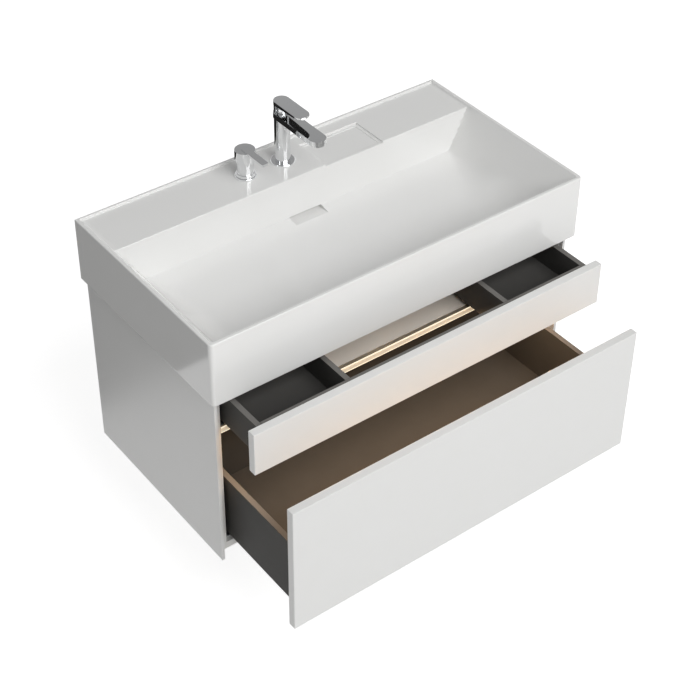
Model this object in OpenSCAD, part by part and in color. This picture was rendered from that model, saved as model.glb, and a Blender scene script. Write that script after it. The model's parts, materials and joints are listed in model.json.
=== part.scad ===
/* [Washbasin] */
// Width of the washbasin
basin_w = 900; // [860:10:1100]
// Depth of the washbasin from the wall
basin_d = 480; // [470:5:520]
// Height of the washbasin, rim to lower edge
basin_h = 146; // [142:1:160]
// Radius of the washbasin's upright corners
basin_corner_r = 8; // [4:1:11]
// Width of the rim at the sides
rim_side = 9; // [7:1:12]
// Width of the rim at the front
rim_front = 9; // [7:1:12]
// Width of the rim along the wall
rim_back = 6; // [4:1:10]
// Drop from the rim to the tap deck
deck_drop = 5; // [3:1:8]
// Depth of the tap deck, from the wall to the bowl's edge
deck_d = 130; // [120:1:140]
// Thickness of the tap deck
deck_t = 14; // [12:1:16]
// Height of the bowl's lowest point above the washbasin's lower edge
bowl_lift = 34; // [32:1:38]
// Rise of the bowl's floor from the lowest point to the rear crease
crease_rise = 24; // [20:1:32]
// Horizontal run of the bowl's rear wall
rear_run = 13; // [8:1:18]
// Horizontal run of the bowl's side walls down to the crease
side_run = 60; // [45:1:75]
// Horizontal run of the bowl's front wall
front_run = 4; // [2:1:8]
// Radius between the side walls and the floor
side_blend_r = 60; // [45:1:65]
// Radius between the front wall and the floor
front_blend_r = 50; // [40:1:52]
// Thickness of the glazed walls
glaze_wall = 12; // [10:1:13]
// Height of the underside ribs that rest on the cabinet
rib_h = 14; // [8:1:18]
// Width of the overflow slot
slot_w = 80; // [60:1:100]
// Height of the overflow slot
slot_h = 8; // [5:0.5:9]
// Length of the scoop in front of the slot
scoop_len = 25; // [18:1:35]
// Height of the overflow duct
duct_h = 8; // [6:0.5:9]
// Wall of the overflow duct
duct_wall = 8; // [6:0.5:9]
// Distance of the wall bolt axis below the rim
bolt_drop = 90; // [86:1:94]
// Spacing of the wall bolt holes
bolt_spacing = 280; // [240:5:320]
// Radius of the wall bolt holes
bolt_hole_r = 7; // [6:0.5:8]
// Radius of the drain hole
drain_hole_r = 23; // [22.5:0.1:24]
// Distance of the drain behind the bowl's front edge
drain_front = 73; // [71:1:81]
// Width of the wall around the drain hole
drain_boss_wall = 13; // [11:1:16]
// Height of the drain boss's lower face above the basin's lower edge
boss_lift = 5; // [3:1:8]
// Depth of the seat for the drain flange
drain_seat = 2; // [1.5:0.1:2.5]

/* [Tray recess in the deck] */
// Left end of the tray recess, from the middle
tray_x = 60; // [55:1:70]
// Width of the tray recess
tray_w = 151; // [140:1:160]
// Distance of the tray recess from the wall
tray_back = 36; // [32:1:42]
// Depth of the tray recess
tray_drop = 3; // [2:0.5:4]
// Border between the tray recess and its pan
tray_border = 7; // [5:1:9]
// Depth of the pan below the recess
pan_drop = 1.5; // [1:0.5:3]

/* [Cabinet] */
// Overhang of the basin past the side covers
side_overhang = 12; // [11:1:16]
// Overhang of the basin past the closed fronts
front_overhang = 17.6; // [15:0.1:22]
// Thickness of the clear pads under the basin
pad_t = 2; // [1:0.5:3]
// Radius of the clear pads
pad_r = 6; // [4:1:7]
// Thickness of the side covers
cover_t = 7; // [6:0.5:9]
// Thickness of the carcass sides
side_t = 16; // [15:0.5:19]
// Thickness of the bottom panel
bottom_t = 16.5; // [15:0.5:19]
// Thickness of the divider shelf
shelf_t = 14.5; // [14:0.5:16]
// Thickness of the rear rails
rail_t = 12; // [10:1:14]
// Height of the rear rails
rail_h = 60; // [50:1:70]
// Distance of the rear rails from the wall
rail_back = 16; // [14:1:18]
// Gap between the basin and the upper rear rail
rail_drop = 17; // [16:1:20]
// Width of the shelf's notch for the trap
notch_w = 240; // [220:5:280]
// Depth of the shelf's notch for the trap
notch_d = 105; // [100:1:120]
// Step from the lower front down to the side covers' lower edge
cover_step = 8.9; // [5:0.1:12]
// Step from the lower front down to the bottom panel's lower face
bottom_step = 2.7; // [1:0.1:4]

/* [Drawer fronts] */
// Thickness of the drawer fronts
front_t = 18; // [16:0.5:20]
// Gap between the basin and the upper front
top_reveal = 5.7; // [4:0.1:8]
// Height of the upper front
upper_front_h = 98.8; // [96:0.1:110]
// Gap between the two fronts
front_gap = 3.5; // [3:0.1:5]
// Height of the lower front
lower_front_h = 307.8; // [290:0.1:330]
// Gap between a front and the side covers
front_side_gap = 1.6; // [1:0.1:3]
// Gap between a closed front and the carcass
close_gap = 0.3; // [0.2:0.1:1]
// Radius of the fronts' outer upright edges
front_edge_r = 2; // [1:0.5:4]

/* [Drawer boxes] */
// Thickness of the drawer box walls
box_t = 12; // [10:0.5:14]
// Gap between a drawer box and the carcass side
runner_gap = 7; // [6.8:0.1:8]
// Distance of the closed drawer boxes from the wall
box_back = 73; // [72:1:76]
// Drop from the upper front's top to its box
upper_box_drop = 6.3; // [5:0.1:10]
// Height of the upper drawer box
upper_box_h = 71.5; // [68:0.5:73]
// Half width of the upper drawer's cut-out
cutout_x = 190; // [170:1:210]
// Drop from the lower front's top to its box
lower_box_drop = 123; // [110:1:140]
// Height of the lower drawer box
lower_box_h = 152; // [140:1:155]
// Height of the lower drawer's floor above its walls' lower edge
floor_lift = 2; // [1:0.5:4]
// Distance that the upper drawer stands open at rest
upper_open = 116.6; // [0:0.1:300]
// Distance that the lower drawer stands open at rest
lower_open = 234.4; // [0:0.1:300]

/* [Drawer runners] */
// Distance of the runners' rear ends in front of the rear rails
runner_rear_gap = 57.1; // [54:0.1:72]
// Distance of the runners' front ends behind the carcass front
runner_setback = 4; // [3:1:6]
// Height of a runner, under the drawer box
runner_h = 9.4; // [9:0.1:9.6]
// Distance that a runner reaches in from the carcass side
runner_w = 45; // [40:1:50]
// Distance of the runners' outer lips from the carcass side
runner_lip_u = 12; // [11:0.5:14]
// Height of the fixed members' lips above their floor
runner_lip_h = 4.8; // [4:0.1:5]
// Height that the fixed members' flanges stand above the drawer box's lower edge
flange_h = 20; // [16:1:30]
// Thickness of the runners' steel
runner_steel = 1.2; // [1:0.1:1.3]
// Running clearance between the runner members
runner_play = 0.3; // [0.2:0.05:0.4]

/* [Light] */
// Depth of the light profile
led_depth = 10; // [9:0.5:12]
// Leg of the profile's slanted face
led_leg = 6; // [5:0.5:7]
// Lip that holds the diffuser
led_lip = 1; // [0.6:0.1:1.4]
// Depth of the profile's pocket, along each axis
led_pocket = 2.5; // [2:0.1:3]
// Thickness of the diffuser, along each axis
diffuser_step = 0.8; // [0.5:0.1:1]
// Thickness of the light strip, along each axis
strip_step = 0.5; // [0.3:0.1:0.7]

/* [Push-open latches] */
// Distance of the latches' middle from the carcass side
latch_inset = 115; // [55:5:185]
// Width of a latch
latch_w = 14; // [12:1:18]
// Height of a latch
latch_h = 8; // [7:0.5:9]
// Length of a latch
latch_len = 60; // [50:1:80]
// Radius of a latch's plunger
plunger_r = 2.5; // [2:0.1:3]
// Length of a latch's plunger
plunger_len = 40; // [30:1:45]
// Running clearance of the plunger
plunger_play = 0.05; // [0.03:0.01:0.1]

/* [Wall hanging] */
// Width of a cabinet hanger
hanger_w = 15; // [13:1:18]
// Height of a cabinet hanger
hanger_h = 60; // [50:1:70]
// Distance from the wall to the hanger's back
hanger_back = 30; // [28:1:32]
// Depth of a cabinet hanger
hanger_d = 36; // [30:1:38]
// Width of the hanger's hook
hook_w = 10; // [8:1:12]
// Thickness of the hook and the wall plate
hook_t = 2.4; // [2:0.1:2.6]
// Height of the hook's lip
hook_lip = 10; // [7:1:14]
// Drop from the cabinet's top to the hook
hook_drop = 5.2; // [4:0.1:7]
// Width of a wall plate
plate_w = 60; // [56:1:70]
// Height of a wall plate
plate_h = 44; // [36:1:50]
// Distance between the wall plate's lip and the wall
plate_reach = 6.7; // [6:0.1:8]
// Spacing of a wall plate's screw holes
plate_hole_gap = 30; // [26:1:36]
// Radius of a wall plate's screw holes
plate_hole_r = 3; // [2.5:0.5:4]

/* [Carcass screws] */
// Radius of a screw's head
screw_head_r = 4.5; // [4:0.5:6]
// Height of a screw's head
screw_head_h = 3; // [2:0.5:4]
// Radius of a screw's shank
screw_r = 2.5; // [2:0.5:3]
// Length of a screw
screw_len = 48; // [40:1:60]

/* [Waste] */
// Radius of the waste flange
flange_r = 32; // [31:0.5:34]
// Thickness of the waste flange
flange_t = 2.5; // [2:0.1:3]
// Outer radius of the waste body
waste_r = 22; // [21.5:0.1:22.4]
// Wall of the waste body
waste_wall = 2.5; // [2:0.1:3]
// Length of the waste body below its flange
waste_len = 50; // [48:1:54]
// Length of the socket below the waste body
socket_len = 10; // [8:1:12]
// Radius of the waste nut
waste_nut_r = 27; // [26:0.5:28]
// Height of the waste nut
waste_nut_h = 10; // [8:1:11]
// Radius of the plug's cap
plug_r = 31; // [29:0.5:32]
// Thickness of the plug's cap
plug_t = 5; // [4:0.5:6]
// Radius of the plug's stem
plug_stem_r = 4; // [3.5:0.1:5]
// Length of the plug's stem
plug_stem_len = 42; // [38:1:44]
// Outer radius of the waste pipes
pipe_r = 16; // [15:0.5:16.5]
// Wall of the waste pipes
pipe_wall = 2; // [1.5:0.1:2.5]
// Bend radius of the waste pipes
pipe_bend_r = 32; // [28:1:32]
// Distance of the trap from the wall
trap_back = 52; // [51:1:54]
// Height of the trap pipe's long run, below the bolt axis
run_drop = 118; // [117:1:122]
// Outer radius of the trap bend
trap_r = 18; // [17.8:0.1:18.4]
// Bend radius of the trap
trap_bend_r = 36; // [34:1:44]
// Height of the trap bend's middle, below the bolt axis
trap_drop = 300; // [290:1:320]
// Height of the wall outlet, below the bolt axis
outlet_drop = 230; // [220:1:240]
// Length of the outlet's spigot past the wall's plane
spigot_len = 40; // [30:1:60]
// Outer radius of the outlet's spigot
spigot_r = 15.8; // [15.2:0.1:15.9]
// Radius of the trap's union nuts
trap_nut_r = 20.4; // [20:0.1:20.6]
// Height of the trap's union nuts
trap_nut_h = 16; // [12:1:20]
// Radius of the wall rosette
rosette_r = 34; // [30:1:40]
// Height of the wall rosette
rosette_h = 8; // [6:1:12]

/* [Mixer] */
// Distance of the taps from the wall
tap_d = 65; // [60:1:70]
// Radius of the mixer's column
column_r = 16.5; // [15:0.5:18]
// Height of the spout's top above the deck
spout_z = 118; // [105:1:130]
// Thickness of the spout
spout_t = 12; // [10:0.5:14]
// Width of the spout
spout_w = 36; // [34:1:40]
// Reach of the spout's end circle from the mixer's axis
spout_reach = 121; // [105:1:135]
// Radius of the fillet under the spout
spout_fillet_r = 20; // [14:1:26]
// Height of the lever's top above the deck
lever_z = 145; // [138:1:152]
// Thickness of the lever
lever_t = 8.5; // [7:0.5:10]
// Width of the lever
lever_w = 34; // [32:1:38]
// Reach of the lever's end circle from the mixer's axis
lever_reach = 66; // [55:1:80]
// Wall of the lever's rear skirt
skirt_wall = 3; // [2.5:0.1:3.5]
// Angle that the lever lifts through
lift_angle = 20; // [10:1:20]
// Distance of the lift pin behind the mixer's axis
lift_pin_d = 8; // [7:0.5:8.5]
// Height of the lift pin above the spout's top
lift_pin_z = 4.5; // [4:0.5:6]
// Radius of the lift pin
lift_pin_r = 1.5; // [1.2:0.1:1.8]
// Radius of the lever's hub
hub_r = 11.5; // [10.5:0.5:12]
// Height of the lever's hub
hub_h = 14; // [10:0.5:15]
// Radius of the cartridge
cartridge_r = 12.5; // [11:0.5:13]
// Height of the cartridge
cartridge_h = 30; // [24:1:36]
// Radius of the cartridge's spindle
spindle_r = 4; // [3:0.5:5]
// Height of the cartridge's spindle
spindle_h = 9; // [6:0.5:10]
// Clearance of the turning fits
turn_play = 0.05; // [0.03:0.01:0.08]
// Radius of the mixer's rosette
mixer_rosette_r = 26.3; // [24:0.1:30]
// Height of the mixer's rosette
mixer_rosette_h = 4; // [3:0.5:6]
// Radius of the threaded shanks' longest, the mixer's
mixer_shank_r = 15; // [13:0.5:16]
// Length of the mixer's shank below the deck's top
mixer_shank_len = 60; // [50:1:70]
// Radius of the mixer's deck hole
mixer_hole_r = 17.5; // [17:0.5:19]
// Radius of the mixer's nut
mixer_nut_r = 24; // [22:0.5:27]
// Height of the mixer's nut
mixer_nut_h = 8; // [6:0.5:10]
// Radius of the two inlet ports
inlet_r = 4; // [3:0.5:5]
// Spacing of the two inlet ports
inlet_gap = 14; // [11:0.5:16]
// Depth of the inlet ports
inlet_depth = 12; // [8:1:16]
// Radius of the aerator
aerator_r = 10; // [9:0.5:12]
// Height of the aerator below the spout
aerator_h = 6; // [4:0.5:8]

/* [Soap dispenser] */
// Distance of the dispenser from the mixer
pump_x = 92; // [88:1:110]
// Radius of the dispenser's flange
pump_flange_r = 23; // [22:0.5:26]
// Height of the dispenser's flange
pump_flange_h = 4; // [3:0.5:5]
// Radius of the ring on the flange
pump_ring_r = 20; // [18:0.5:21]
// Height of the ring on the flange
pump_ring_h = 6; // [4:0.5:8]
// Radius of the dispenser's neck
pump_neck_r = 17.7; // [16:0.1:18]
// Height of the dispenser's neck above the deck
pump_neck_h = 39; // [34:1:44]
// Radius of the press cap
pump_cap_r = 21.5; // [21:0.5:24]
// Height of the press cap
pump_cap_h = 27; // [24:1:32]
// Wall of the press cap
pump_cap_wall = 3; // [2:0.1:3.3]
// Thickness of the press cap's top
pump_cap_top = 6; // [4:0.5:7]
// Travel of the press cap
pump_travel = 11; // [8:0.5:12]
// Width of the nozzle bar
nozzle_w = 16; // [12:0.5:20]
// Thickness of the nozzle bar
nozzle_t = 5; // [4:0.5:6]
// Reach of the nozzle's end circle from the dispenser's axis
nozzle_reach = 65; // [55:1:65]
// Radius of the nozzle's tip
nozzle_tip_r = 4; // [3:0.5:5]
// Height of the nozzle's tip
nozzle_tip_h = 4; // [2:0.5:6]
// Radius of the dispenser's shank
pump_shank_r = 12.5; // [12:0.1:14]
// Length of the shank below the deck's top
pump_shank_len = 39; // [36:1:44]
// Radius of the dispenser's deck hole
pump_hole_r = 14.5; // [14.2:0.1:16]
// Radius of the dispenser's nut
pump_nut_r = 20; // [18:0.5:24]
// Height of the dispenser's nut
pump_nut_h = 8; // [6:0.5:9]
// Radius of the pump's barrel
barrel_r = 9; // [8:0.5:10]
// Wall of the pump's barrel
barrel_wall = 2; // [1.5:0.1:2.5]
// Length of the pump's barrel below its collar
barrel_len = 90; // [80:1:100]
// Radius of the pump's collar
collar_r = 14; // [12:0.5:16]
// Height of the pump's collar
collar_h = 2; // [1.5:0.5:3]
// Radius of the pump's stem
stem_r = 4; // [3:0.5:4.5]
// Length of the pump's stem below the neck's top
stem_len = 62; // [50:1:66]
// Height of the pump's piston
piston_h = 8; // [6:1:10]
// Radius of the dip tube
dip_r = 4; // [3:0.5:5]
// Wall of the dip tube
dip_wall = 1.2; // [0.8:0.1:1.5]
// Radius of the soap bottle
bottle_r = 30; // [26:0.5:32]
// Wall of the soap bottle
bottle_wall = 2; // [1.5:0.1:2.5]
// Wall of the bottle's neck
bottle_neck_wall = 3; // [2:0.1:4]
// Height of the bottle's neck
bottle_neck_h = 16; // [12:1:18]
// Height of the bottle's shoulder
bottle_shoulder_h = 8; // [6:1:14]
// Height of the bottle's body
bottle_h = 82; // [70:1:86]

/* [Hidden] */
$fn = 64;
// Overrun of every cut past the face that it opens
over = 1;
// Clearance between pieces on different bodies
gap = 0.3;
// Fineness of the bowl's long arc
long_arc_fn = 720;

// Heights, from the wall bolts' axis
rim_z = bolt_drop;
deck_z = rim_z - deck_drop;
deck_under_z = deck_z - deck_t;
skirt_z = rim_z - basin_h;
floor_z = skirt_z + bowl_lift;
crease_z = floor_z + crease_rise;
bowl_depth = rim_z - floor_z;
crease_depth = rim_z - crease_z;
boss_z = skirt_z + boss_lift;
seat_z = floor_z - drain_seat;
cab_top = skirt_z - pad_t;
upper_top = skirt_z - top_reveal;
upper_bot = upper_top - upper_front_h;
lower_top = upper_bot - front_gap;
lower_bot = lower_top - lower_front_h;
cover_bot = lower_bot - cover_step;
cab_bot = lower_bot - bottom_step;
bottom_top = cab_bot + bottom_t;
shelf_bot = lower_top;
shelf_top = shelf_bot + shelf_t;
upper_box_top = upper_top - upper_box_drop;
upper_box_bot = upper_box_top - upper_box_h;
lower_box_top = lower_top - lower_box_drop;
lower_box_bot = lower_box_top - lower_box_h;
rail_top = cab_top - rail_drop;

// Half widths, from the middle
basin_x = basin_w / 2;
bowl_x = basin_x - rim_side;
cover_x = basin_x - side_overhang;
side_x = cover_x - cover_t;
inner_x = side_x - side_t;
front_x = side_x - front_side_gap;
box_x = inner_x - runner_gap;
bay_x = box_x - box_t;
divider_x = cutout_x + box_t;

// Distances from the wall
face_d = basin_d - front_overhang;
front_back_d = face_d - front_t;
carcass_d = front_back_d - close_gap;
bowl_front_d = basin_d - rim_front;
drain_d = bowl_front_d - drain_front;
crease_d = deck_d + rear_run;
runner_d = carcass_d - runner_setback;
runner_len = runner_d - rail_back - rail_t - runner_rear_gap;
latch_x = inner_x - latch_inset;

// Bowl: long floor arc through the crease and the drain, and the two blends
arc_rise = crease_z - floor_z;
arc_r = ((drain_d - crease_d) ^ 2 + arc_rise ^ 2) / (2 * arc_rise);
side_lean = atan(side_run / (crease_depth - deck_drop));
front_lean = atan(front_run / bowl_depth);
rear_lean = atan(rear_run / (crease_depth - deck_drop));
function blend_x(x0, z0, lean, r) =
  x0 + (sin(lean) * (floor_z + r - z0) - r) / cos(lean);

// Drawer travel of the middle runner members
middle_share = 0.5;

white = [0.95, 0.95, 0.94];
anthracite = [0.27, 0.27, 0.28];
beige = [0.78, 0.72, 0.63];
steel = [0.68, 0.69, 0.70];
chrome = [0.80, 0.81, 0.83];
plastic = [0.85, 0.85, 0.85];

// A block between two places on each axis, d being the distance from the wall
module slab(x, d, z)
  translate([x[0], -d[1], z[0]]) cube([x[1] - x[0], d[1] - d[0], z[1] - z[0]]);

// A tube standing on z = 0
module tube(r, bore, h)
  difference() {
    cylinder(r = r, h = h);
    translate([0, 0, -over]) cylinder(r = bore, h = h + 2 * over);
  }

// A plate with two round ends, from the axis forwards
module tongue(w, reach, t)
  linear_extrude(t) {
    circle(d = w);
    translate([0, -reach]) circle(d = w);
    translate([-w / 2, -reach]) square([w, reach]);
  }

// Both copies of a piece that the cabinet has on the left and on the right
module both_sides() {
  children();
  mirror([1, 0, 0]) children();
}

module opened(distance) translate([0, -distance, 0]) children();

// Places of the taps and the drain
module at_mixer(z = 0) translate([0, -tap_d, deck_z + z]) children();
module at_pump(z = 0) translate([-pump_x, -tap_d, deck_z + z]) children();
module at_drain(z) translate([0, -drain_d, z]) children();

// A shape drawn in (distance from the wall, height), as wide as w
module across(w)
  translate([-w / 2, 0, 0]) rotate([90, 0, 90]) linear_extrude(w) mirror([1, 0]) children();

// Region above the floor and inside a wall that leans, rounded between them
module blend_region(x0, z0, lean, r, g, wide) {
  cx = blend_x(x0, z0, lean, r);
  tangent_z = floor_z + r - (r + g) * sin(lean);
  translate([cx, floor_z + r]) circle(r = r + g, $fn = long_arc_fn);
  translate([cx - wide, floor_z - 2 * g - over]) square([wide, rim_z - floor_z + wide]);
  translate([cx - wide, tangent_z]) square([3 * wide, rim_z - floor_z + wide]);
}

// The bowl's profile from the wall forwards, grown by g
module bowl_long_profile(g) {
  low = floor_z - 2 * g - over;
  top = rim_z + over;
  intersection() {
    translate([drain_d, floor_z + arc_r]) circle(r = arc_r + g, $fn = long_arc_fn);
    polygon([
      [deck_d - g / cos(rear_lean), top],
      [deck_d - g / cos(rear_lean), deck_z],
      [deck_d - g / cos(rear_lean) + (deck_z - low) * tan(rear_lean), low],
      [bowl_front_d + g / cos(front_lean) - (rim_z - low) * tan(front_lean), low],
      [bowl_front_d + g / cos(front_lean), rim_z],
      [bowl_front_d + g / cos(front_lean), top]
    ]);
    blend_region(bowl_front_d, rim_z, front_lean, front_blend_r, g, basin_d);
  }
}

// The bowl's profile across, grown by g
module bowl_cross_profile(g) {
  low = floor_z - 2 * g - over;
  top = rim_z + over;
  foot_x = bowl_x + g / cos(side_lean) - (deck_z - low) * tan(side_lean);
  top_x = bowl_x + g / cos(side_lean);
  intersection() {
    polygon([[-top_x, top], [-top_x, deck_z], [-foot_x, low], [foot_x, low], [top_x, deck_z], [top_x, top]]);
    blend_region(bowl_x, deck_z, side_lean, side_blend_r, g, 2 * basin_x);
    mirror([1, 0]) blend_region(bowl_x, deck_z, side_lean, side_blend_r, g, 2 * basin_x);
  }
}

module bowl_form(g)
  intersection() {
    across(basin_w) bowl_long_profile(g);
    rotate([90, 0, 0]) linear_extrude(basin_d + over) bowl_cross_profile(g);
  }

// Overflow duct under the floor, from the slot to the drain, between two depths of the floor arc
module duct_form(w, from_d, near, far)
  across(w) intersection() {
    difference() {
      translate([drain_d, floor_z + arc_r]) circle(r = arc_r + far, $fn = long_arc_fn);
      translate([drain_d, floor_z + arc_r]) circle(r = arc_r + near, $fn = long_arc_fn);
    }
    translate([from_d, floor_z - far - over])
      square([drain_d - from_d, crease_z - floor_z + far + 2 * over]);
  }

module basin_block(inset, z0, z1) {
  r = basin_corner_r;
  w = basin_w - 2 * inset;
  translate([0, -inset, z0]) linear_extrude(z1 - z0) difference() {
    translate([-w / 2, -(basin_d - 2 * inset)]) square([w, basin_d - 2 * inset]);
    if (inset == 0) for (s = [-1, 1]) difference() {
      translate([s * (w / 2 - r / 2), -basin_d + r / 2]) square(r, center = true);
      translate([s * (w / 2 - r), -basin_d + r]) circle(r = r);
    }
  }
}

module washbasin() {
  chamber_d = crease_d - rear_run - over;
  mouth = [chamber_d, crease_d];
  color(white) difference() {
    union() {
      difference() {
        basin_block(0, skirt_z, rim_z);
        basin_block(glaze_wall, skirt_z - over, deck_under_z);
      }
      intersection() {
        basin_block(0, skirt_z, rim_z);
        bowl_form(glaze_wall);
      }
      both_sides() slab([inner_x, basin_x - glaze_wall], [rail_back, basin_d - glaze_wall],
                        [skirt_z, skirt_z + rib_h]);
      duct_form(slot_w + 2 * duct_wall, chamber_d - duct_wall, 0, glaze_wall + duct_h + duct_wall);
      slab([-slot_w / 2 - duct_wall, slot_w / 2 + duct_wall], [chamber_d - duct_wall, crease_d + duct_wall],
           [crease_z - slot_h - glaze_wall - duct_h, crease_z + duct_wall]);
      at_drain(boss_z) cylinder(r = drain_hole_r + drain_boss_wall, h = floor_z - boss_z - over);
    }
    bowl_form(0);
    slab([-bowl_x, bowl_x], [rim_back, deck_d + over], [deck_z, rim_z + over]);
    slab([tray_x, tray_x + tray_w], [tray_back, deck_d + over], [deck_z - tray_drop, deck_z + over]);
    slab([tray_x + tray_border, tray_x + tray_w - tray_border], [tray_back + tray_border, deck_d - tray_border],
         [deck_z - tray_drop - pan_drop, deck_z]);
    slab([-slot_w / 2, slot_w / 2], mouth, [crease_z - slot_h, crease_z]);
    slab([-slot_w / 2, slot_w / 2], [chamber_d, chamber_d + duct_h], [crease_z - slot_h - duct_h, crease_z]);
    across(slot_w) polygon([
      [crease_d - over, crease_z], [crease_d - over, crease_z - slot_h], [crease_d, crease_z - slot_h],
      [crease_d + scoop_len, crease_z - scoop_len * (drain_d - crease_d) / arc_r], [crease_d + scoop_len, crease_z]
    ]);
    duct_form(slot_w, chamber_d, glaze_wall, glaze_wall + duct_h);
    at_drain(seat_z) cylinder(r = flange_r + over, h = bowl_depth);
    at_drain(boss_z - over) cylinder(r = drain_hole_r, h = bowl_depth);
    at_mixer(-deck_t - over) cylinder(r = mixer_hole_r, h = deck_t + 2 * over);
    at_pump(-deck_t - over) cylinder(r = pump_hole_r, h = deck_t + 2 * over);
    for (s = [-1, 1]) translate([s * bolt_spacing / 2, over, 0])
      rotate([90, 0, 0]) cylinder(r = bolt_hole_r, h = glaze_wall + 2 * over);
  }
}

// Cabinet
module basin_pads() {
  pad_places_share = [0.15, 0.5, 0.85];
  color(plastic) both_sides() for (s = pad_places_share)
    translate([inner_x + side_t / 2, -s * carcass_d, cab_top]) cylinder(r = pad_r, h = pad_t);
}

module side_cover()
  color(white) slab([side_x, cover_x], [0, face_d], [cover_bot, cab_top]);
module side_cover_right() side_cover();
module side_cover_left() mirror([1, 0, 0]) side_cover();

// Screws through the carcass sides, heads level with the sides' outer faces
module at_screws() {
  board_places_share = [0.16, 0.5, 0.92];
  rail_places_share = [0.25, 0.75];
  rail_mid_d = rail_back + rail_t / 2;
  both_sides() {
    for (s = board_places_share, z = [(shelf_top + shelf_bot) / 2, (cab_bot + bottom_top) / 2])
      translate([side_x, -s * runner_d, z]) children();
    for (s = rail_places_share, top = [rail_top, bottom_top + rail_h])
      translate([side_x, -rail_mid_d, top - s * rail_h]) children();
  }
}
module panel_screw()
  rotate([0, -90, 0]) {
    cylinder(r = screw_head_r, h = screw_head_h);
    cylinder(r = screw_r, h = screw_len);
  }
module panel_screws() color(steel) at_screws() panel_screw();

module carcass_side()
  color(plastic) difference() {
    slab([inner_x, side_x], [0, carcass_d], [cab_bot, cab_top]);
    at_screws() panel_screw();
  }
module carcass_side_right() carcass_side();
module carcass_side_left() mirror([1, 0, 0]) carcass_side();

module bottom_panel()
  color(plastic) difference() {
    slab([-inner_x, inner_x], [0, carcass_d], [cab_bot, bottom_top]);
    at_screws() panel_screw();
  }

module divider_shelf()
  color(beige) difference() {
    slab([-inner_x, inner_x], [0, carcass_d - led_depth], [shelf_bot, shelf_top]);
    slab([-notch_w / 2, notch_w / 2], [-over, notch_d], [shelf_bot - over, shelf_top + over]);
    at_screws() panel_screw();
  }

module rear_rail(top)
  color(plastic) difference() {
    slab([-inner_x, inner_x], [rail_back, rail_back + rail_t], [top - rail_h, top]);
    at_screws() panel_screw();
  }
module rear_rail_upper() rear_rail(rail_top);
module rear_rail_lower() rear_rail(bottom_top + rail_h);

// Hangers, hooked over the wall plates' lips
module hanger() {
  hook_z = cab_top - hook_drop;
  hook_x = inner_x - hanger_w / 2;
  hook_ends = [hook_x - hook_w / 2, hook_x + hook_w / 2];
  color(steel) {
    slab([inner_x - hanger_w, inner_x], [hanger_back, hanger_back + hanger_d], [hook_z - hanger_h, hook_z]);
    slab(hook_ends, [plate_reach - gap - hook_t, hanger_back + over], [hook_z - hook_t, hook_z]);
    slab(hook_ends, [plate_reach - gap - hook_t, plate_reach - gap], [hook_z - hook_lip, hook_z]);
  }
}
module hanger_right() hanger();
module hanger_left() mirror([1, 0, 0]) hanger();

module wall_plate() {
  lip_top = cab_top - hook_drop - hook_t;
  foot_z = lip_top - hook_lip - hook_t;
  ends = [inner_x - plate_w - gap, inner_x - gap];
  mid_x = (ends[0] + ends[1]) / 2;
  hole_z = foot_z - (plate_h - hook_lip) / 2;
  color(steel) difference() {
    union() {
      slab(ends, [0, hook_t], [foot_z + hook_t - plate_h, foot_z + hook_t]);
      slab(ends, [0, plate_reach + hook_t], [foot_z, foot_z + hook_t]);
      slab(ends, [plate_reach, plate_reach + hook_t], [foot_z, lip_top]);
    }
    for (s = [-1, 1]) translate([mid_x + s * plate_hole_gap / 2, over, hole_z])
      rotate([90, 0, 0]) cylinder(r = plate_hole_r, h = hook_t + 2 * over);
  }
}
module wall_plates() both_sides() wall_plate();

// Light in the shelf's front edge, shining down and forwards
module light_section() translate([carcass_d, shelf_bot]) mirror([1, 0]) children();
module led_profile()
  color(steel) across(2 * inner_x) light_section() difference() {
    polygon([[0, led_leg], [0, shelf_t], [led_depth, shelf_t], [led_depth, 0], [led_leg, 0]]);
    polygon([
      [led_lip - over, led_leg - led_lip - over], [led_leg - led_lip - over, led_lip - over],
      [led_leg - led_lip + led_pocket, led_lip + led_pocket], [led_lip + led_pocket, led_leg - led_lip + led_pocket]
    ]);
  }
module light_layer(near, far)
  across(2 * inner_x) light_section() polygon([
    [led_lip + near, led_leg - led_lip + near], [led_leg - led_lip + near, led_lip + near],
    [led_leg - led_lip + far, led_lip + far], [led_lip + far, led_leg - led_lip + far]
  ]);
module led_diffuser() color([1, 0.93, 0.8]) light_layer(0, diffuser_step);
module led_strip() color([0.9, 0.85, 0.6]) light_layer(led_pocket - strip_step, led_pocket);

// Runners under the drawer boxes, u being the distance from the carcass side. The fixed member's
// tray holds the middle member's tray, and that holds the two ribs of the drawer member.
middle_u = runner_lip_u + runner_steel + runner_play;
middle_z = runner_steel + runner_play;
slide_u = middle_u + runner_steel + runner_play;
slide_z = middle_z + runner_steel + runner_play;
module runner_bar(u, z)
  slab([inner_x - u[1], inner_x - u[0]], [runner_d - runner_len, runner_d], z);
// Two upright walls, the same distance in from the runner's two edges
module runner_walls(u, z) {
  runner_bar([u, u + runner_steel], z);
  far = runner_w - (u - runner_lip_u);
  runner_bar([far - runner_steel, far], z);
}
module fixed_members(box_z) {
  low = box_z - runner_h;
  color(steel) both_sides() {
    runner_bar([0, runner_w], [low, low + runner_steel]);
    runner_bar([0, runner_steel], [low, box_z + flange_h]);
    runner_walls(runner_lip_u, [low, low + runner_steel + runner_lip_h]);
  }
}
module middle_members(box_z) {
  low = box_z - runner_h + middle_z;
  color(steel) both_sides() {
    runner_bar([middle_u, runner_w - (middle_u - runner_lip_u)], [low, low + runner_steel]);
    runner_walls(middle_u, [low, low + runner_steel + runner_lip_h - runner_play]);
  }
}
module slide_members(box_z) color(steel) both_sides() {
  runner_bar([runner_lip_u, runner_w], [box_z - runner_steel, box_z]);
  runner_walls(slide_u, [box_z - runner_h + slide_z, box_z]);
}
module upper_runner_rails() fixed_members(upper_box_bot);
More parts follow.
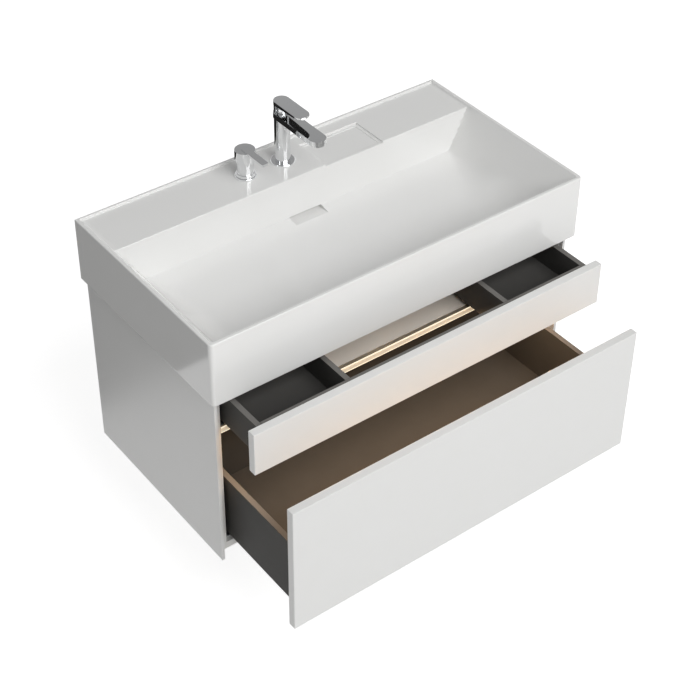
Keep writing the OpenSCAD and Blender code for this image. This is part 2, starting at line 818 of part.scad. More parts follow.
module lower_runner_rails() fixed_members(lower_box_bot);
module upper_middle_members() opened(upper_open * middle_share) middle_members(upper_box_bot);
module lower_middle_members() opened(lower_open * middle_share) middle_members(lower_box_bot);
module upper_slides() opened(upper_open) slide_members(upper_box_bot);
module lower_slides() opened(lower_open) slide_members(lower_box_bot);

// Latches, one on the shelf for the upper drawer and one under it for the lower drawer
module at_plunger(z) translate([latch_x, -carcass_d, z]) rotate([-90, 0, 0]) children();
upper_plunger_z = shelf_top + latch_h / 2;
lower_plunger_z = shelf_bot - latch_h / 2;
module touch_latches() {
  back = led_depth + latch_len;
  color(plastic) for (z = [upper_plunger_z, lower_plunger_z]) difference() {
    slab([latch_x - latch_w / 2, latch_x + latch_w / 2], [carcass_d - back, carcass_d - led_depth],
         [z - latch_h / 2, z + latch_h / 2]);
    at_plunger(z) cylinder(r = plunger_r + plunger_play, h = plunger_len + led_depth);
  }
}
module upper_latch_plunger() color(anthracite) at_plunger(upper_plunger_z) cylinder(r = plunger_r, h = plunger_len);
module lower_latch_plunger() color(anthracite) at_plunger(lower_plunger_z) cylinder(r = plunger_r, h = plunger_len);

// Drawers
module front_board(bot, top)
  color(white) translate([0, 0, bot]) linear_extrude(top - bot) difference() {
    translate([-front_x, -face_d]) square([2 * front_x, front_t]);
    for (s = [-1, 1]) difference() {
      translate([s * (front_x - front_edge_r / 2), front_edge_r / 2 - face_d]) square(front_edge_r, center = true);
      translate([s * (front_x - front_edge_r), front_edge_r - face_d]) circle(r = front_edge_r);
    }
  }
module upper_front() opened(upper_open) front_board(upper_bot, upper_top);
module lower_front() opened(lower_open) front_board(lower_bot, lower_top);

module upper_side()
  color(anthracite) slab([bay_x, box_x], [box_back, front_back_d], [upper_box_bot, upper_box_top]);
module upper_side_right() opened(upper_open) upper_side();
module upper_side_left() opened(upper_open) mirror([1, 0, 0]) upper_side();

bay_front_d = front_back_d - box_t;
module upper_front_rail()
  color(anthracite) opened(upper_open)
    slab([-bay_x, bay_x], [bay_front_d, front_back_d], [upper_box_bot, upper_box_top]);
module upper_dividers()
  color(anthracite) opened(upper_open) both_sides()
    slab([cutout_x, divider_x], [box_back, bay_front_d], [upper_box_bot, upper_box_top]);
module upper_backs()
  color(anthracite) opened(upper_open) both_sides()
    slab([divider_x, bay_x], [box_back, box_back + box_t], [upper_box_bot, upper_box_top]);
module upper_floors()
  color(anthracite) opened(upper_open) both_sides()
    slab([divider_x, bay_x], [box_back + box_t, bay_front_d], [upper_box_bot, upper_box_bot + box_t]);

module lower_side()
  color(anthracite) slab([bay_x, box_x], [box_back, front_back_d], [lower_box_bot, lower_box_top]);
module lower_side_right() opened(lower_open) lower_side();
module lower_side_left() opened(lower_open) mirror([1, 0, 0]) lower_side();
module lower_back()
  color(anthracite) opened(lower_open)
    slab([-bay_x, bay_x], [box_back, box_back + box_t], [lower_box_bot, lower_box_top]);
module lower_floor()
  color(anthracite) opened(lower_open)
    slab([-bay_x, bay_x], [box_back + box_t, front_back_d],
         [lower_box_bot + floor_lift, lower_box_bot + floor_lift + box_t]);

// Waste, with a bar across the body that guides the plug's stem
waste_bot = seat_z - waste_len;
waste_bore = waste_r - waste_wall;
duct_mid_z = floor_z - glaze_wall - duct_h / 2;
guide_top = duct_mid_z - duct_h;
module waste_body() {
  guide_t = 2 * waste_wall;
  color(chrome) difference() {
    union() {
      at_drain(seat_z) tube(flange_r, waste_bore, flange_t);
      at_drain(waste_bot) tube(waste_r, waste_bore, waste_len + over);
      at_drain(waste_bot - socket_len) tube(waste_r, pipe_r, socket_len);
      intersection() {
        at_drain(guide_top - guide_t) cylinder(r = waste_r, h = guide_t);
        at_drain(guide_top - guide_t) translate([-waste_r, -2 * plug_stem_r, 0])
          cube([2 * waste_r, 4 * plug_stem_r, guide_t]);
      }
    }
    at_drain(duct_mid_z - duct_h / 2) translate([-duct_h, -2 * waste_r, 0])
      cube([2 * duct_h, 4 * waste_r, duct_h]);
    at_drain(waste_bot) cylinder(r = plug_stem_r + turn_play, h = waste_len);
  }
}
module waste_nut()
  color(chrome) at_drain(boss_z - waste_nut_h) tube(waste_nut_r, waste_r, waste_nut_h);
module waste_plug()
  color(chrome) at_drain(seat_z + flange_t + gap) {
    rotate_extrude() polygon([
      [0, 0], [plug_r - plug_t / 2, 0], [plug_r, plug_t / 2], [plug_r - plug_t / 2, plug_t - over], [0, plug_t]
    ]);
    translate([0, 0, -plug_stem_len]) cylinder(r = plug_stem_r, h = plug_stem_len + over);
  }

// A hollow pipe bend of a quarter turn: it starts at the origin going down and ends going in +Y
module pipe_bend(r, wall, bend)
  translate([0, bend, 0]) rotate([-90, 0, 0]) rotate([0, 90, 0]) rotate_extrude(angle = 90)
    translate([bend, 0]) difference() {
      circle(r = r);
      circle(r = r - wall);
    }
module pipe_down(r, wall, top, bottom) translate([0, 0, bottom]) tube(r, r - wall, top - bottom);
module pipe_back(r, wall, from_d, to_d)
  translate([0, -from_d, 0]) rotate([-90, 0, 0]) tube(r, r - wall, from_d - to_d);

nut_bottom = shelf_bot - trap_nut_h;
outlet_x = 2 * trap_bend_r;
module waste_pipe() {
  bend_top = -run_drop + pipe_bend_r;
  color(plastic) {
    at_drain(0) pipe_down(pipe_r, pipe_wall, waste_bot, bend_top);
    at_drain(bend_top) pipe_bend(pipe_r, pipe_wall, pipe_bend_r);
    translate([0, 0, -run_drop]) pipe_back(pipe_r, pipe_wall, drain_d - pipe_bend_r, trap_back + pipe_bend_r);
    translate([0, -trap_back, -run_drop - pipe_bend_r]) mirror([0, 0, 1]) mirror([0, 1, 0])
      pipe_bend(pipe_r, pipe_wall, pipe_bend_r);
    translate([0, -trap_back, 0]) pipe_down(pipe_r, pipe_wall, -run_drop - pipe_bend_r, nut_bottom);
  }
}
module trap_bend() {
  outlet_leg_top = -outlet_drop - pipe_bend_r;
  color(plastic) translate([0, -trap_back, 0]) {
    pipe_down(trap_r, trap_r - pipe_r, nut_bottom + trap_nut_h / 2, nut_bottom);
    pipe_down(trap_r, pipe_wall, nut_bottom, -trap_drop);
    translate([trap_bend_r, 0, -trap_drop]) rotate([-90, 0, 0]) rotate_extrude(angle = 180)
      translate([trap_bend_r, 0]) difference() {
        circle(r = trap_r);
        circle(r = trap_r - pipe_wall);
      }
    translate([outlet_x, 0, 0]) {
      pipe_down(trap_r, pipe_wall, outlet_leg_top - trap_nut_h / 2, -trap_drop);
      pipe_down(trap_r, trap_r - pipe_r, outlet_leg_top, outlet_leg_top - trap_nut_h / 2);
    }
  }
}
module trap_nuts()
  color(plastic) translate([0, -trap_back, 0]) {
    translate([0, 0, nut_bottom - trap_nut_h / 2]) tube(trap_nut_r, trap_r, trap_nut_h);
    translate([outlet_x, 0, -outlet_drop - pipe_bend_r - trap_nut_h]) tube(trap_nut_r, trap_r, trap_nut_h);
  }
module outlet_pipe() {
  low = -outlet_drop - pipe_bend_r;
  color(plastic) translate([outlet_x, 0, 0]) {
    translate([0, -trap_back, 0]) pipe_down(pipe_r, pipe_wall, low, low - trap_nut_h / 2);
    translate([0, -trap_back, low]) mirror([0, 0, 1]) pipe_bend(pipe_r, pipe_wall, pipe_bend_r);
    translate([0, 0, -outlet_drop]) {
      pipe_back(pipe_r, pipe_wall, trap_back - pipe_bend_r, 0);
      pipe_back(spigot_r, spigot_r - pipe_r + pipe_wall, 0, -spigot_len);
    }
  }
}
module wall_rosette()
  color(chrome) translate([outlet_x, 0, -outlet_drop]) rotate([90, 0, 0]) rotate_extrude()
    polygon([[pipe_r, 0], [rosette_r, 0], [rosette_r, over], [pipe_r + over, rosette_h], [pipe_r, rosette_h]]);

// Mixer
module mixer_body() {
  spout_bot = spout_z - spout_t;
  fillet_w = spout_w - 2 * spout_t;
  color(chrome) difference() {
    union() {
      at_mixer() cylinder(r = column_r, h = spout_z);
      at_mixer(spout_bot) tongue(spout_w, spout_reach, spout_t);
      at_mixer(-mixer_shank_len) cylinder(r = mixer_shank_r, h = mixer_shank_len + over);
      at_mixer(spout_bot - spout_fillet_r) translate([-fillet_w / 2, -column_r - spout_fillet_r + over, 0])
        difference() {
          cube([fillet_w, spout_fillet_r, spout_fillet_r + over]);
          translate([-over, 0, 0]) rotate([0, 90, 0]) cylinder(r = spout_fillet_r, h = fillet_w + 2 * over);
        }
    }
    at_mixer(spout_z - cartridge_h) cylinder(r = cartridge_r, h = cartridge_h + over);
    at_mixer(spout_bot - over) translate([0, -spout_reach, 0]) cylinder(r = aerator_r - over, h = spout_t / 2 + over);
    for (s = [-1, 1]) at_mixer(-mixer_shank_len - over) translate([s * inlet_gap / 2, 0, 0])
      cylinder(r = inlet_r, h = inlet_depth + over);
  }
}
module mixer_rosette()
  color(chrome) at_mixer() rotate_extrude() polygon([
    [column_r, 0], [mixer_rosette_r, 0], [mixer_rosette_r, mixer_rosette_h / 2],
    [mixer_rosette_r - over, mixer_rosette_h], [column_r, mixer_rosette_h]
  ]);
module mixer_cartridge()
  color(steel) at_mixer(spout_z - cartridge_h) {
    cylinder(r = cartridge_r, h = cartridge_h);
    cylinder(r = spindle_r, h = cartridge_h + spindle_h);
  }
module mixer_nut()
  color(steel) at_mixer(-deck_t - mixer_nut_h) tube(mixer_nut_r, mixer_shank_r, mixer_nut_h);
module aerator()
  color(chrome) at_mixer(spout_z - spout_t - aerator_h) translate([0, -spout_reach, 0]) {
    cylinder(r = aerator_r, h = aerator_h);
    cylinder(r = aerator_r - over, h = aerator_h + spout_t / 2);
  }

// The hub turns on the spindle and carries the lift pin
module lever_hub() {
  shoulder = hub_h - hub_r / 2;
  color(chrome) at_mixer(spout_z + gap) {
    difference() {
      rotate_extrude() polygon([[0, 0], [hub_r, 0], [hub_r, shoulder], [hub_r / 2, hub_h], [0, hub_h]]);
      translate([0, 0, -over]) cylinder(r = spindle_r + turn_play, h = spindle_h + over + gap);
    }
    translate([0, lift_pin_d, lift_pin_z - gap]) rotate([0, 90, 0])
      cylinder(r = lift_pin_r, h = 2 * (column_r - skirt_wall), center = true);
  }
}
module mixer_lever() {
  skirt_h = lever_z - spout_z;
  skirt_bore = column_r - skirt_wall;
  color(chrome) at_mixer(spout_z + gap) difference() {
    union() {
      translate([0, 0, skirt_h - gap - lever_t]) tongue(lever_w, lever_reach, lever_t);
      intersection() {
        tube(column_r, skirt_bore, skirt_h - gap - over);
        translate([-column_r, 0, 0]) cube([2 * column_r, column_r, skirt_h]);
      }
    }
    translate([0, lift_pin_d, lift_pin_z - gap]) {
      rotate([0, 90, 0]) cylinder(r = lift_pin_r + turn_play, h = 2 * column_r, center = true);
      rotate([lift_angle, 0, 0]) translate([-column_r, 0, -2 * column_r - lift_pin_z + 2 * gap])
        cube([2 * column_r, 2 * column_r, 2 * column_r]);
    }
  }
}

// Soap dispenser
module dispenser_neck()
  color(chrome) difference() {
    union() {
      at_pump() cylinder(r = pump_flange_r, h = pump_flange_h);
      at_pump() cylinder(r = pump_ring_r, h = pump_flange_h + pump_ring_h);
      at_pump() cylinder(r = pump_neck_r, h = pump_neck_h);
      at_pump(-pump_shank_len) cylinder(r = pump_shank_r, h = pump_shank_len + over);
    }
    at_pump(-pump_shank_len - over) cylinder(r = barrel_r, h = pump_shank_len + pump_neck_h + 2 * over);
  }
module dispenser_nut()
  color(plastic) at_pump(-deck_t - pump_nut_h) tube(pump_nut_r, pump_shank_r, pump_nut_h);
module pump_barrel() {
  bore = barrel_r - barrel_wall;
  color(plastic) at_pump(pump_neck_h) difference() {
    union() {
      cylinder(r = collar_r, h = collar_h);
      translate([0, 0, -barrel_len]) cylinder(r = barrel_r, h = barrel_len + over);
    }
    translate([0, 0, -barrel_len + barrel_wall]) cylinder(r = bore, h = barrel_len - 2 * barrel_wall);
    translate([0, 0, -2 * barrel_wall]) cylinder(r = stem_r + turn_play, h = 2 * barrel_wall + collar_h + over);
    translate([0, 0, -barrel_len - over]) cylinder(r = dip_r - dip_wall, h = barrel_wall + 2 * over);
  }
}
module pump_stem()
  color(plastic) at_pump(pump_neck_h - stem_len) {
    cylinder(r = stem_r, h = stem_len + pump_cap_h - pump_cap_top + nozzle_t / 2);
    cylinder(r = barrel_r - barrel_wall - turn_play, h = piston_h);
  }
module pump_head() {
  cap_bore = pump_cap_r - pump_cap_wall;
  color(chrome) at_pump(pump_neck_h + gap) difference() {
    union() {
      cylinder(r = pump_cap_r, h = pump_cap_h - gap);
      translate([0, 0, pump_cap_h - gap - nozzle_t]) tongue(nozzle_w, nozzle_reach, nozzle_t);
      translate([0, -nozzle_reach, pump_cap_h - gap - nozzle_t - nozzle_tip_h])
        cylinder(r = nozzle_tip_r, h = nozzle_tip_h + over);
    }
    translate([0, 0, -over]) cylinder(r = cap_bore, h = pump_cap_h - pump_cap_top + over - gap);
    cylinder(r = stem_r + turn_play, h = pump_cap_h - pump_cap_top + nozzle_t / 2);
  }
}
bottle_bot = -pump_shank_len - bottle_shoulder_h - bottle_h;
module dip_tube() {
  barrel_bot = pump_neck_h - barrel_len;
  tube_bot = bottle_bot + 2 * bottle_wall;
  color(plastic) at_pump(tube_bot) tube(dip_r, dip_r - dip_wall, barrel_bot - tube_bot);
}
module soap_bottle() {
  neck_r = pump_shank_r + bottle_neck_wall;
  neck_z = bottle_shoulder_h + bottle_h;
  in_r = bottle_r - bottle_wall;
  color([0.92, 0.92, 0.9]) at_pump(bottle_bot) rotate_extrude() polygon([
    [0, 0], [bottle_r, 0], [bottle_r, bottle_h], [neck_r, neck_z], [neck_r, neck_z + bottle_neck_h],
    [pump_shank_r, neck_z + bottle_neck_h], [pump_shank_r, neck_z - bottle_wall], [in_r, bottle_h - bottle_wall],
    [in_r, bottle_wall], [0, bottle_wall]
  ]);
}

washbasin();
basin_pads();
side_cover_left();
side_cover_right();
carcass_side_left();
carcass_side_right();
bottom_panel();
divider_shelf();
rear_rail_upper();
rear_rail_lower();
panel_screws();
hanger_left();
hanger_right();
wall_plates();
led_profile();
led_diffuser();
led_strip();
upper_runner_rails();
lower_runner_rails();
upper_middle_members();
lower_middle_members();
upper_slides();
lower_slides();
touch_latches();
upper_latch_plunger();
lower_latch_plunger();
upper_front();
upper_side_left();
upper_side_right();
upper_dividers();
upper_floors();
upper_backs();
upper_front_rail();
lower_front();
lower_side_left();
lower_side_right();
lower_back();
lower_floor();
waste_body();
waste_nut();
waste_plug();
waste_pipe();
trap_bend();
trap_nuts();
outlet_pipe();
wall_rosette();
mixer_body();
mixer_rosette();
mixer_cartridge();
mixer_nut();
aerator();
lever_hub();
mixer_lever();
dispenser_neck();
dispenser_nut();
pump_barrel();
dip_tube();
soap_bottle();
pump_stem();
pump_head();
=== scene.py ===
# %% [markdown]
# # A wall-hung vanity with a washbasin, two drawers and a light
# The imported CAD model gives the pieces, their places and their motion. This lesson gives the object
# its looks: the camera, one finish for each real material, the pieces with their rounded edges,
# from the plain boards to the ceramic basin and the chrome taps, and at the end the studio.

# %% Load the frame
import json
import math
import bpy
from mathutils import Matrix, Vector


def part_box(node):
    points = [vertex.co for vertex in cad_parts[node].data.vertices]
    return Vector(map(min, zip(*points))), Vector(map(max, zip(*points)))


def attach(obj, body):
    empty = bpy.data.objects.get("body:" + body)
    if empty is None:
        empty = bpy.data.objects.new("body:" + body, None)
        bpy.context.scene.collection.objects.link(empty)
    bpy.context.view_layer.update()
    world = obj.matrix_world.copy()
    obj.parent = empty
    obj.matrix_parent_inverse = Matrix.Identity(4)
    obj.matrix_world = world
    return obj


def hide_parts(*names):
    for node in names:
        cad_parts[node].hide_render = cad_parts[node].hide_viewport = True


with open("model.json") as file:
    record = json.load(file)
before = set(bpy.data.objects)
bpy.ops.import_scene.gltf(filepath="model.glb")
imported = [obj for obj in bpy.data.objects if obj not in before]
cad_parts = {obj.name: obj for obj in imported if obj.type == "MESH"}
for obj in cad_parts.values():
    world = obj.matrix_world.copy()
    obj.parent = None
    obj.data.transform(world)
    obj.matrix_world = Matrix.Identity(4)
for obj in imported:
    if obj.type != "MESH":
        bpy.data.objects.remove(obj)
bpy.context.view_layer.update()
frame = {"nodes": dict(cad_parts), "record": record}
BODY_OF = {node: body for body, nodes in frame["record"]["behaviour"]["bodies"].items() for node in nodes}

# %% [markdown]
# ## Camera
# The photograph was taken from above the left front corner with a long lens. The position and the
# two angles were worked out from the basin's and the fronts' corners, whose real places are known.
# The lens is 85 mm on a 36 mm sensor, and a small vertical shift keeps the upright edges' lean.

# %% Camera
AZIMUTH, ELEVATION, ROLL = -0.652567, 0.657055, 0.010124
CAMERA_AT = Vector((-1.604801, -2.396096, 1.957243))
LENS_MM, SENSOR_MM, SHIFT_UP = 84.69, 36, -0.10
back = Vector((math.sin(AZIMUTH) * math.cos(ELEVATION), -math.cos(AZIMUTH) * math.cos(ELEVATION),
               math.sin(ELEVATION)))
right = Vector((math.cos(AZIMUTH), math.sin(AZIMUTH), 0))
up = back.cross(right)
turn = Matrix.Rotation(ROLL, 3, back)
right, up = turn @ right, turn @ up
camera = bpy.data.objects.new("camera", bpy.data.cameras.new("camera"))
bpy.context.scene.collection.objects.link(camera)
camera.data.lens, camera.data.sensor_width, camera.data.shift_y = LENS_MM, SENSOR_MM, SHIFT_UP
camera.matrix_world = Matrix.Translation(CAMERA_AT) @ Matrix((right, up, back)).transposed().to_4x4()
camera.data.clip_end = 50
bpy.context.scene.camera = camera
print("camera at", [round(v, 3) for v in camera.matrix_world.translation])

# %% [markdown]
# ## Nodes and colours
# Every finish below is a small graph of shader nodes. One function adds a node, sets its values and
# links its inputs. Colours are written as they look on screen, in sRGB hex, and another function
# turns them into the linear values that the renderer works in.

# %% Helpers for finishes
def linear(colour):
    """An sRGB hex colour as linear RGBA"""
    parts = [int(colour[i:i + 2], 16) / 255 for i in (1, 3, 5)]
    return [p / 12.92 if p <= 0.04045 else ((p + 0.055) / 1.055) ** 2.4 for p in parts] + [1]


def add(tree, kind, values=None, links=None):
    """Adds a node, sets its inputs or its settings, and links its inputs"""
    made = tree.nodes.new(kind)
    for key, value in (values or {}).items():
        if isinstance(key, int) or key in made.inputs:
            made.inputs[key].default_value = value
        else:
            setattr(made, key, value)
    for key, socket in (links or {}).items():
        tree.links.new(socket, made.inputs[key])
    return made


def new_finish(name, colour, **values):
    """A material with one Principled shader, and the node that reads the piece's own coordinates"""
    material = bpy.data.materials.new(name)
    material.use_nodes = True
    tree = material.node_tree
    shader = tree.nodes["Principled BSDF"]
    shader.inputs["Base Color"].default_value = linear(colour)
    for key, value in values.items():
        shader.inputs[key.replace("_", " ")].default_value = value
    place = add(tree, "ShaderNodeTexCoord").outputs["Object"]
    material.diffuse_color = linear(colour)
    return material, tree, shader, place

# %% [markdown]
# ## Ceramic glaze
# The basin is vitreous china: cast clay, sprayed with a white glaze and fired. The glaze is glossy
# like glass, IOR about 1.5, and it is never quite flat, so long soft ripples move its reflections.
# Where it pools, the white is a trace warmer. Both are noise, one in the colour and one in a bump.
# A noise node's scale is the number of blotches in a metre, so a size in millimetres divides 1000.

# %% Glaze
GLAZE, POOLED_GLAZE = "#F0F0EF", "#ECECEA"
POOL_MM, RIPPLE_MM, RIPPLE_HEIGHT, RIPPLE_STRENGTH = 140, 60, 0.001, 0.05
glaze, tree, shader, place = new_finish("glazed_vitreous_china", GLAZE, Roughness=0.09, IOR=1.52)
pools = add(tree, "ShaderNodeTexNoise", {"Scale": 1000 / POOL_MM, "Detail": 2}, {"Vector": place})
tint = add(tree, "ShaderNodeMix", {"data_type": "RGBA", 6: linear(GLAZE), 7: linear(POOLED_GLAZE)},
           {0: pools.outputs["Fac"]})
tree.links.new(tint.outputs[2], shader.inputs["Base Color"])
ripple = add(tree, "ShaderNodeTexNoise", {"Scale": 1000 / RIPPLE_MM, "Detail": 1}, {"Vector": place})
bump = add(tree, "ShaderNodeBump", {"Strength": RIPPLE_STRENGTH, "Distance": RIPPLE_HEIGHT},
           {"Height": ripple.outputs["Fac"]})
tree.links.new(bump.outputs[0], shader.inputs["Normal"])
print("glaze:", len(tree.nodes), "nodes")

# %% [markdown]
# ## Lacquer and boards
# The fronts and the side covers are MDF, sprayed with satin white lacquer, which leaves an orange
# peel of 1.6 mm. The carcass and the drawers are chipboard pressed with a melamine paper: its
# surface has a finer, sharper grit, and its colour is a little mottled. So one recipe serves all the
# boards, with a different colour, gloss and grit. On the drawers' boards every face that looks up is
# painted a paler grey, a painted highlight for the light on their top edges, so their material asks
# which way a face looks. The anthracite boards are dead matt: their specular level is 0.06, where
# the other boards keep the usual 0.5.

# %% Lacquer and boards
MOTTLE_MM, GRIT_HEIGHT, BOARD_SPREAD = 60, 0.0004, 0.05
FACING_UP, MATT_SPECULAR = 0.8, 0.06


def board_finish(name, colour, shade, roughness, grit_mm, strength, painted_top_highlight=None):
    """A sprayed or pressed board: mottled, with a fine grit, and perhaps a painted highlight on faces that
    look up
    """
    material, tree, shader, place = new_finish(name, colour, Roughness=roughness, IOR=1.5)
    mottle = add(tree, "ShaderNodeTexNoise", {"Scale": 1000 / MOTTLE_MM, "Detail": 6, "Roughness": 0.6},
                 {"Vector": place})
    tint = add(tree, "ShaderNodeMix", {"data_type": "RGBA", 6: linear(colour), 7: linear(shade)},
               {0: mottle.outputs["Fac"]})
    # faces that look up are painted paler: a painted highlight on the boards' top edges
    if painted_top_highlight:
        normal = add(tree, "ShaderNodeTexCoord").outputs["Normal"]
        facing = add(tree, "ShaderNodeSeparateXYZ", {}, {0: normal})
        upward = add(tree, "ShaderNodeMath", {"operation": "GREATER_THAN", 1: FACING_UP},
                     {0: facing.outputs["Z"]})
        tint = add(tree, "ShaderNodeMix", {"data_type": "RGBA", 7: linear(painted_top_highlight)},
                   {0: upward.outputs[0], 6: tint.outputs[2]})
    tree.links.new(tint.outputs[2], shader.inputs["Base Color"])
    grit = add(tree, "ShaderNodeTexNoise", {"Scale": 1000 / grit_mm, "Detail": 3}, {"Vector": place})
    rough = add(tree, "ShaderNodeMapRange",
                {"To Min": roughness - BOARD_SPREAD, "To Max": roughness + BOARD_SPREAD},
                {"Value": grit.outputs["Fac"]})
    tree.links.new(rough.outputs[0], shader.inputs["Roughness"])
    bump = add(tree, "ShaderNodeBump", {"Strength": strength, "Distance": GRIT_HEIGHT},
               {"Height": grit.outputs["Fac"]})
    tree.links.new(bump.outputs[0], shader.inputs["Normal"])
    return material


lacquer = board_finish("satin_white_lacquer", "#E8E8E7", "#E6E6E4", 0.36, 1.6, 0.05)
carcass_board = board_finish("white_melamine_board", "#E4E3E0", "#DFDDD9", 0.45, 0.9, 0.12)
shelf_board = board_finish("taupe_melamine_board", "#EFE8DE", "#E9E1D7", 0.5, 0.9, 0.15)
drawer_board = board_finish("anthracite_melamine_board", "#585755", "#51504E", 0.5, 0.9, 0.2)
# the drawers' sides, backs and rails: anthracite, with a painted highlight on every face that looks up
painted_highlight_board = board_finish("anthracite_board_with_painted_top_highlight", "#504F4D", "#494846", 0.5, 0.9, 0.2,
                           painted_top_highlight="#72706D")
for board in (drawer_board, painted_highlight_board):
    board.node_tree.nodes["Principled BSDF"].inputs["Specular IOR Level"].default_value = MATT_SPECULAR
print("boards:", [b.name for b in (lacquer, carcass_board, shelf_board, drawer_board, painted_highlight_board)])

# %% [markdown]
# ## Metals
# Chrome on brass is polished to a mirror, so it shows the studio more than a colour of its own; a
# faint noise in its roughness stands for wiping marks. Zinc-plated steel is duller, with a cloudy
# plating. The light's aluminium profile was drawn and anodised, so fine lines run along it: noise
# that is stretched 60 times along X makes them.

# %% Metals
DRAWN = (1 / 60, 1, 1)


def metal_finish(name, colour, roughness, spread, mark_mm, stretch=(1, 1, 1)):
    """A bare metal, whose gloss varies with marks of this size"""
    material, tree, shader, place = new_finish(name, colour, Metallic=1.0, Roughness=roughness)
    stretched = add(tree, "ShaderNodeMapping", {"Scale": stretch}, {"Vector": place})
    marks = add(tree, "ShaderNodeTexNoise", {"Scale": 1000 / mark_mm, "Detail": 4},
                {"Vector": stretched.outputs[0]})
    rough = add(tree, "ShaderNodeMapRange", {"To Min": roughness - spread, "To Max": roughness + spread},
                {"Value": marks.outputs["Fac"]})
    tree.links.new(rough.outputs[0], shader.inputs["Roughness"])
    return material


chrome = metal_finish("polished_chrome", "#EEEFF0", 0.045, 0.02, 8)
zinc_steel = metal_finish("zinc_plated_steel", "#A9ABAC", 0.38, 0.12, 12)
aluminium = metal_finish("anodised_aluminium", "#DED3C0", 0.6, 0.1, 1.2, DRAWN)
print("metals:", chrome.name, zinc_steel.name, aluminium.name)

# %% [markdown]
# ## Plastics
# The waste pipes are injection-moulded polypropylene: slightly waxy, white, with a fine moulded
# grain. The soap bottle is natural polyethylene, so light goes a little way into it. The latches
# are grey acetal, and the pads under the basin are clear silicone, which lets most light through.

# %% Plastics
GRAIN_MM, GRAIN_HEIGHT, GRAIN_STRENGTH = 0.8, 0.0003, 0.1
CLOUD_MM, PLASTIC_SPREAD = 25, 0.06


def plastic_finish(name, colour, roughness, **values):
    """A moulded plastic, with a fine grain and a cloudy gloss"""
    material, tree, shader, place = new_finish(name, colour, Roughness=roughness, **values)
    grain = add(tree, "ShaderNodeTexNoise", {"Scale": 1000 / GRAIN_MM, "Detail": 2}, {"Vector": place})
    cloud = add(tree, "ShaderNodeTexNoise", {"Scale": 1000 / CLOUD_MM}, {"Vector": place})
    rough = add(tree, "ShaderNodeMapRange",
                {"To Min": roughness - PLASTIC_SPREAD, "To Max": roughness + PLASTIC_SPREAD},
                {"Value": cloud.outputs["Fac"]})
    tree.links.new(rough.outputs[0], shader.inputs["Roughness"])
    bump = add(tree, "ShaderNodeBump", {"Strength": GRAIN_STRENGTH, "Distance": GRAIN_HEIGHT},
               {"Height": grain.outputs["Fac"]})
    tree.links.new(bump.outputs[0], shader.inputs["Normal"])
    return material


pipe_plastic = plastic_finish("moulded_polypropylene", "#E3E3DF", 0.4, IOR=1.49)
bottle_plastic = plastic_finish("natural_polyethylene", "#E6E5DC", 0.35, Subsurface_Weight=0.3, IOR=1.5)
latch_plastic = plastic_finish("grey_acetal", "#8E8F90", 0.38, IOR=1.48)
pad_silicone = plastic_finish("clear_silicone", "#E8EAEA", 0.3, Transmission_Weight=0.7, IOR=1.41)
print("plastics:", pipe_plastic.name, bottle_plastic.name, latch_plastic.name, pad_silicone.name)

# %% [markdown]
# ## What glows
# The light's diffuser is opal polycarbonate over a strip of warm white LEDs. It glows with the
# shader's own emission, which needs no lamp inside. In the photograph two thin bright lines run
# along the light's front, with a duller band between them. Only the lower line is the diffuser's own
# glow: the upper one is a painted highlight on the profile's top edge, and the band a painted glow
# for the profile's front lit by the LEDs. So the strength follows a point's distance to the
# profile's middle height: it is low up to 4.6 mm, and full from 5.6 mm to the edge.

# %% What glows
# DULL is a painted glow for the profile's front; BRIGHT draws the two lines, the lower the diffuser's light,
# the upper a painted highlight
DULL, BRIGHT = 0.13, 0.85
LINE_START, LINE_END = 0.0046, 0.0056
diffuser = plastic_finish("opal_polycarbonate_with_painted_light", "#E9E2D4", 0.5, Emission_Strength=0.5, IOR=1.58)
tree = diffuser.node_tree
shader = tree.nodes["Principled BSDF"]
shader.inputs["Emission Color"].default_value = linear("#FFEFD0")
profile_low, profile_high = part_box("led_profile")
profile_middle = (profile_low.z + profile_high.z) / 2
height = add(tree, "ShaderNodeSeparateXYZ", {}, {0: add(tree, "ShaderNodeTexCoord").outputs["Object"]})
off_middle = add(tree, "ShaderNodeMath", {"operation": "SUBTRACT", 1: profile_middle},
                 {0: height.outputs["Z"]})
from_middle = add(tree, "ShaderNodeMath", {"operation": "ABSOLUTE"}, {0: off_middle.outputs[0]})
glow_and_painted_light = add(tree, "ShaderNodeMapRange",
                 {"From Min": LINE_START, "From Max": LINE_END, "To Min": DULL, "To Max": BRIGHT},
                 {"Value": from_middle.outputs[0]})
tree.links.new(glow_and_painted_light.outputs[0], shader.inputs["Emission Strength"])
led_strip = plastic_finish("led_strip_board", "#F2EAD2", 0.4, Emission_Strength=2.0)
led_strip.node_tree.nodes["Principled BSDF"].inputs["Emission Color"].default_value = linear("#FFDFB0")
print("glowing:", diffuser.name, led_strip.name)

# %% [markdown]
# ## Which finish goes where
# The record names a material slot for each node, so the finishes are handed out by slot. The CAD
# nodes that stay as they are get theirs here, and each piece that replaces one gets the same. Only
# the drawer boards, whose faces that look up carry a painted highlight, need a finish beside their
# slot's own.

# %% Hand out the finishes
FINISH = {
    "glaze": glaze, "lacquer": lacquer, "carcass_board": carcass_board, "shelf_board": shelf_board,
    "drawer_board": drawer_board, "steel": zinc_steel, "profile_aluminium": aluminium,
    "diffuser": diffuser, "light_strip": led_strip, "chrome": chrome, "pipe_plastic": pipe_plastic,
    "bottle_plastic": bottle_plastic, "latch_plastic": latch_plastic, "clear_rubber": pad_silicone,
}
SLOT_OF = {entry["node"]: entry["material_slot"] for entry in frame["record"]["subparts"]}
# drawer boards whose upward faces get the painted highlight
PAINTED_TOP_NODES = {"upper_side_left", "upper_side_right", "upper_dividers", "upper_backs", "upper_front_rail",
               "lower_side_left", "lower_side_right", "lower_back"}


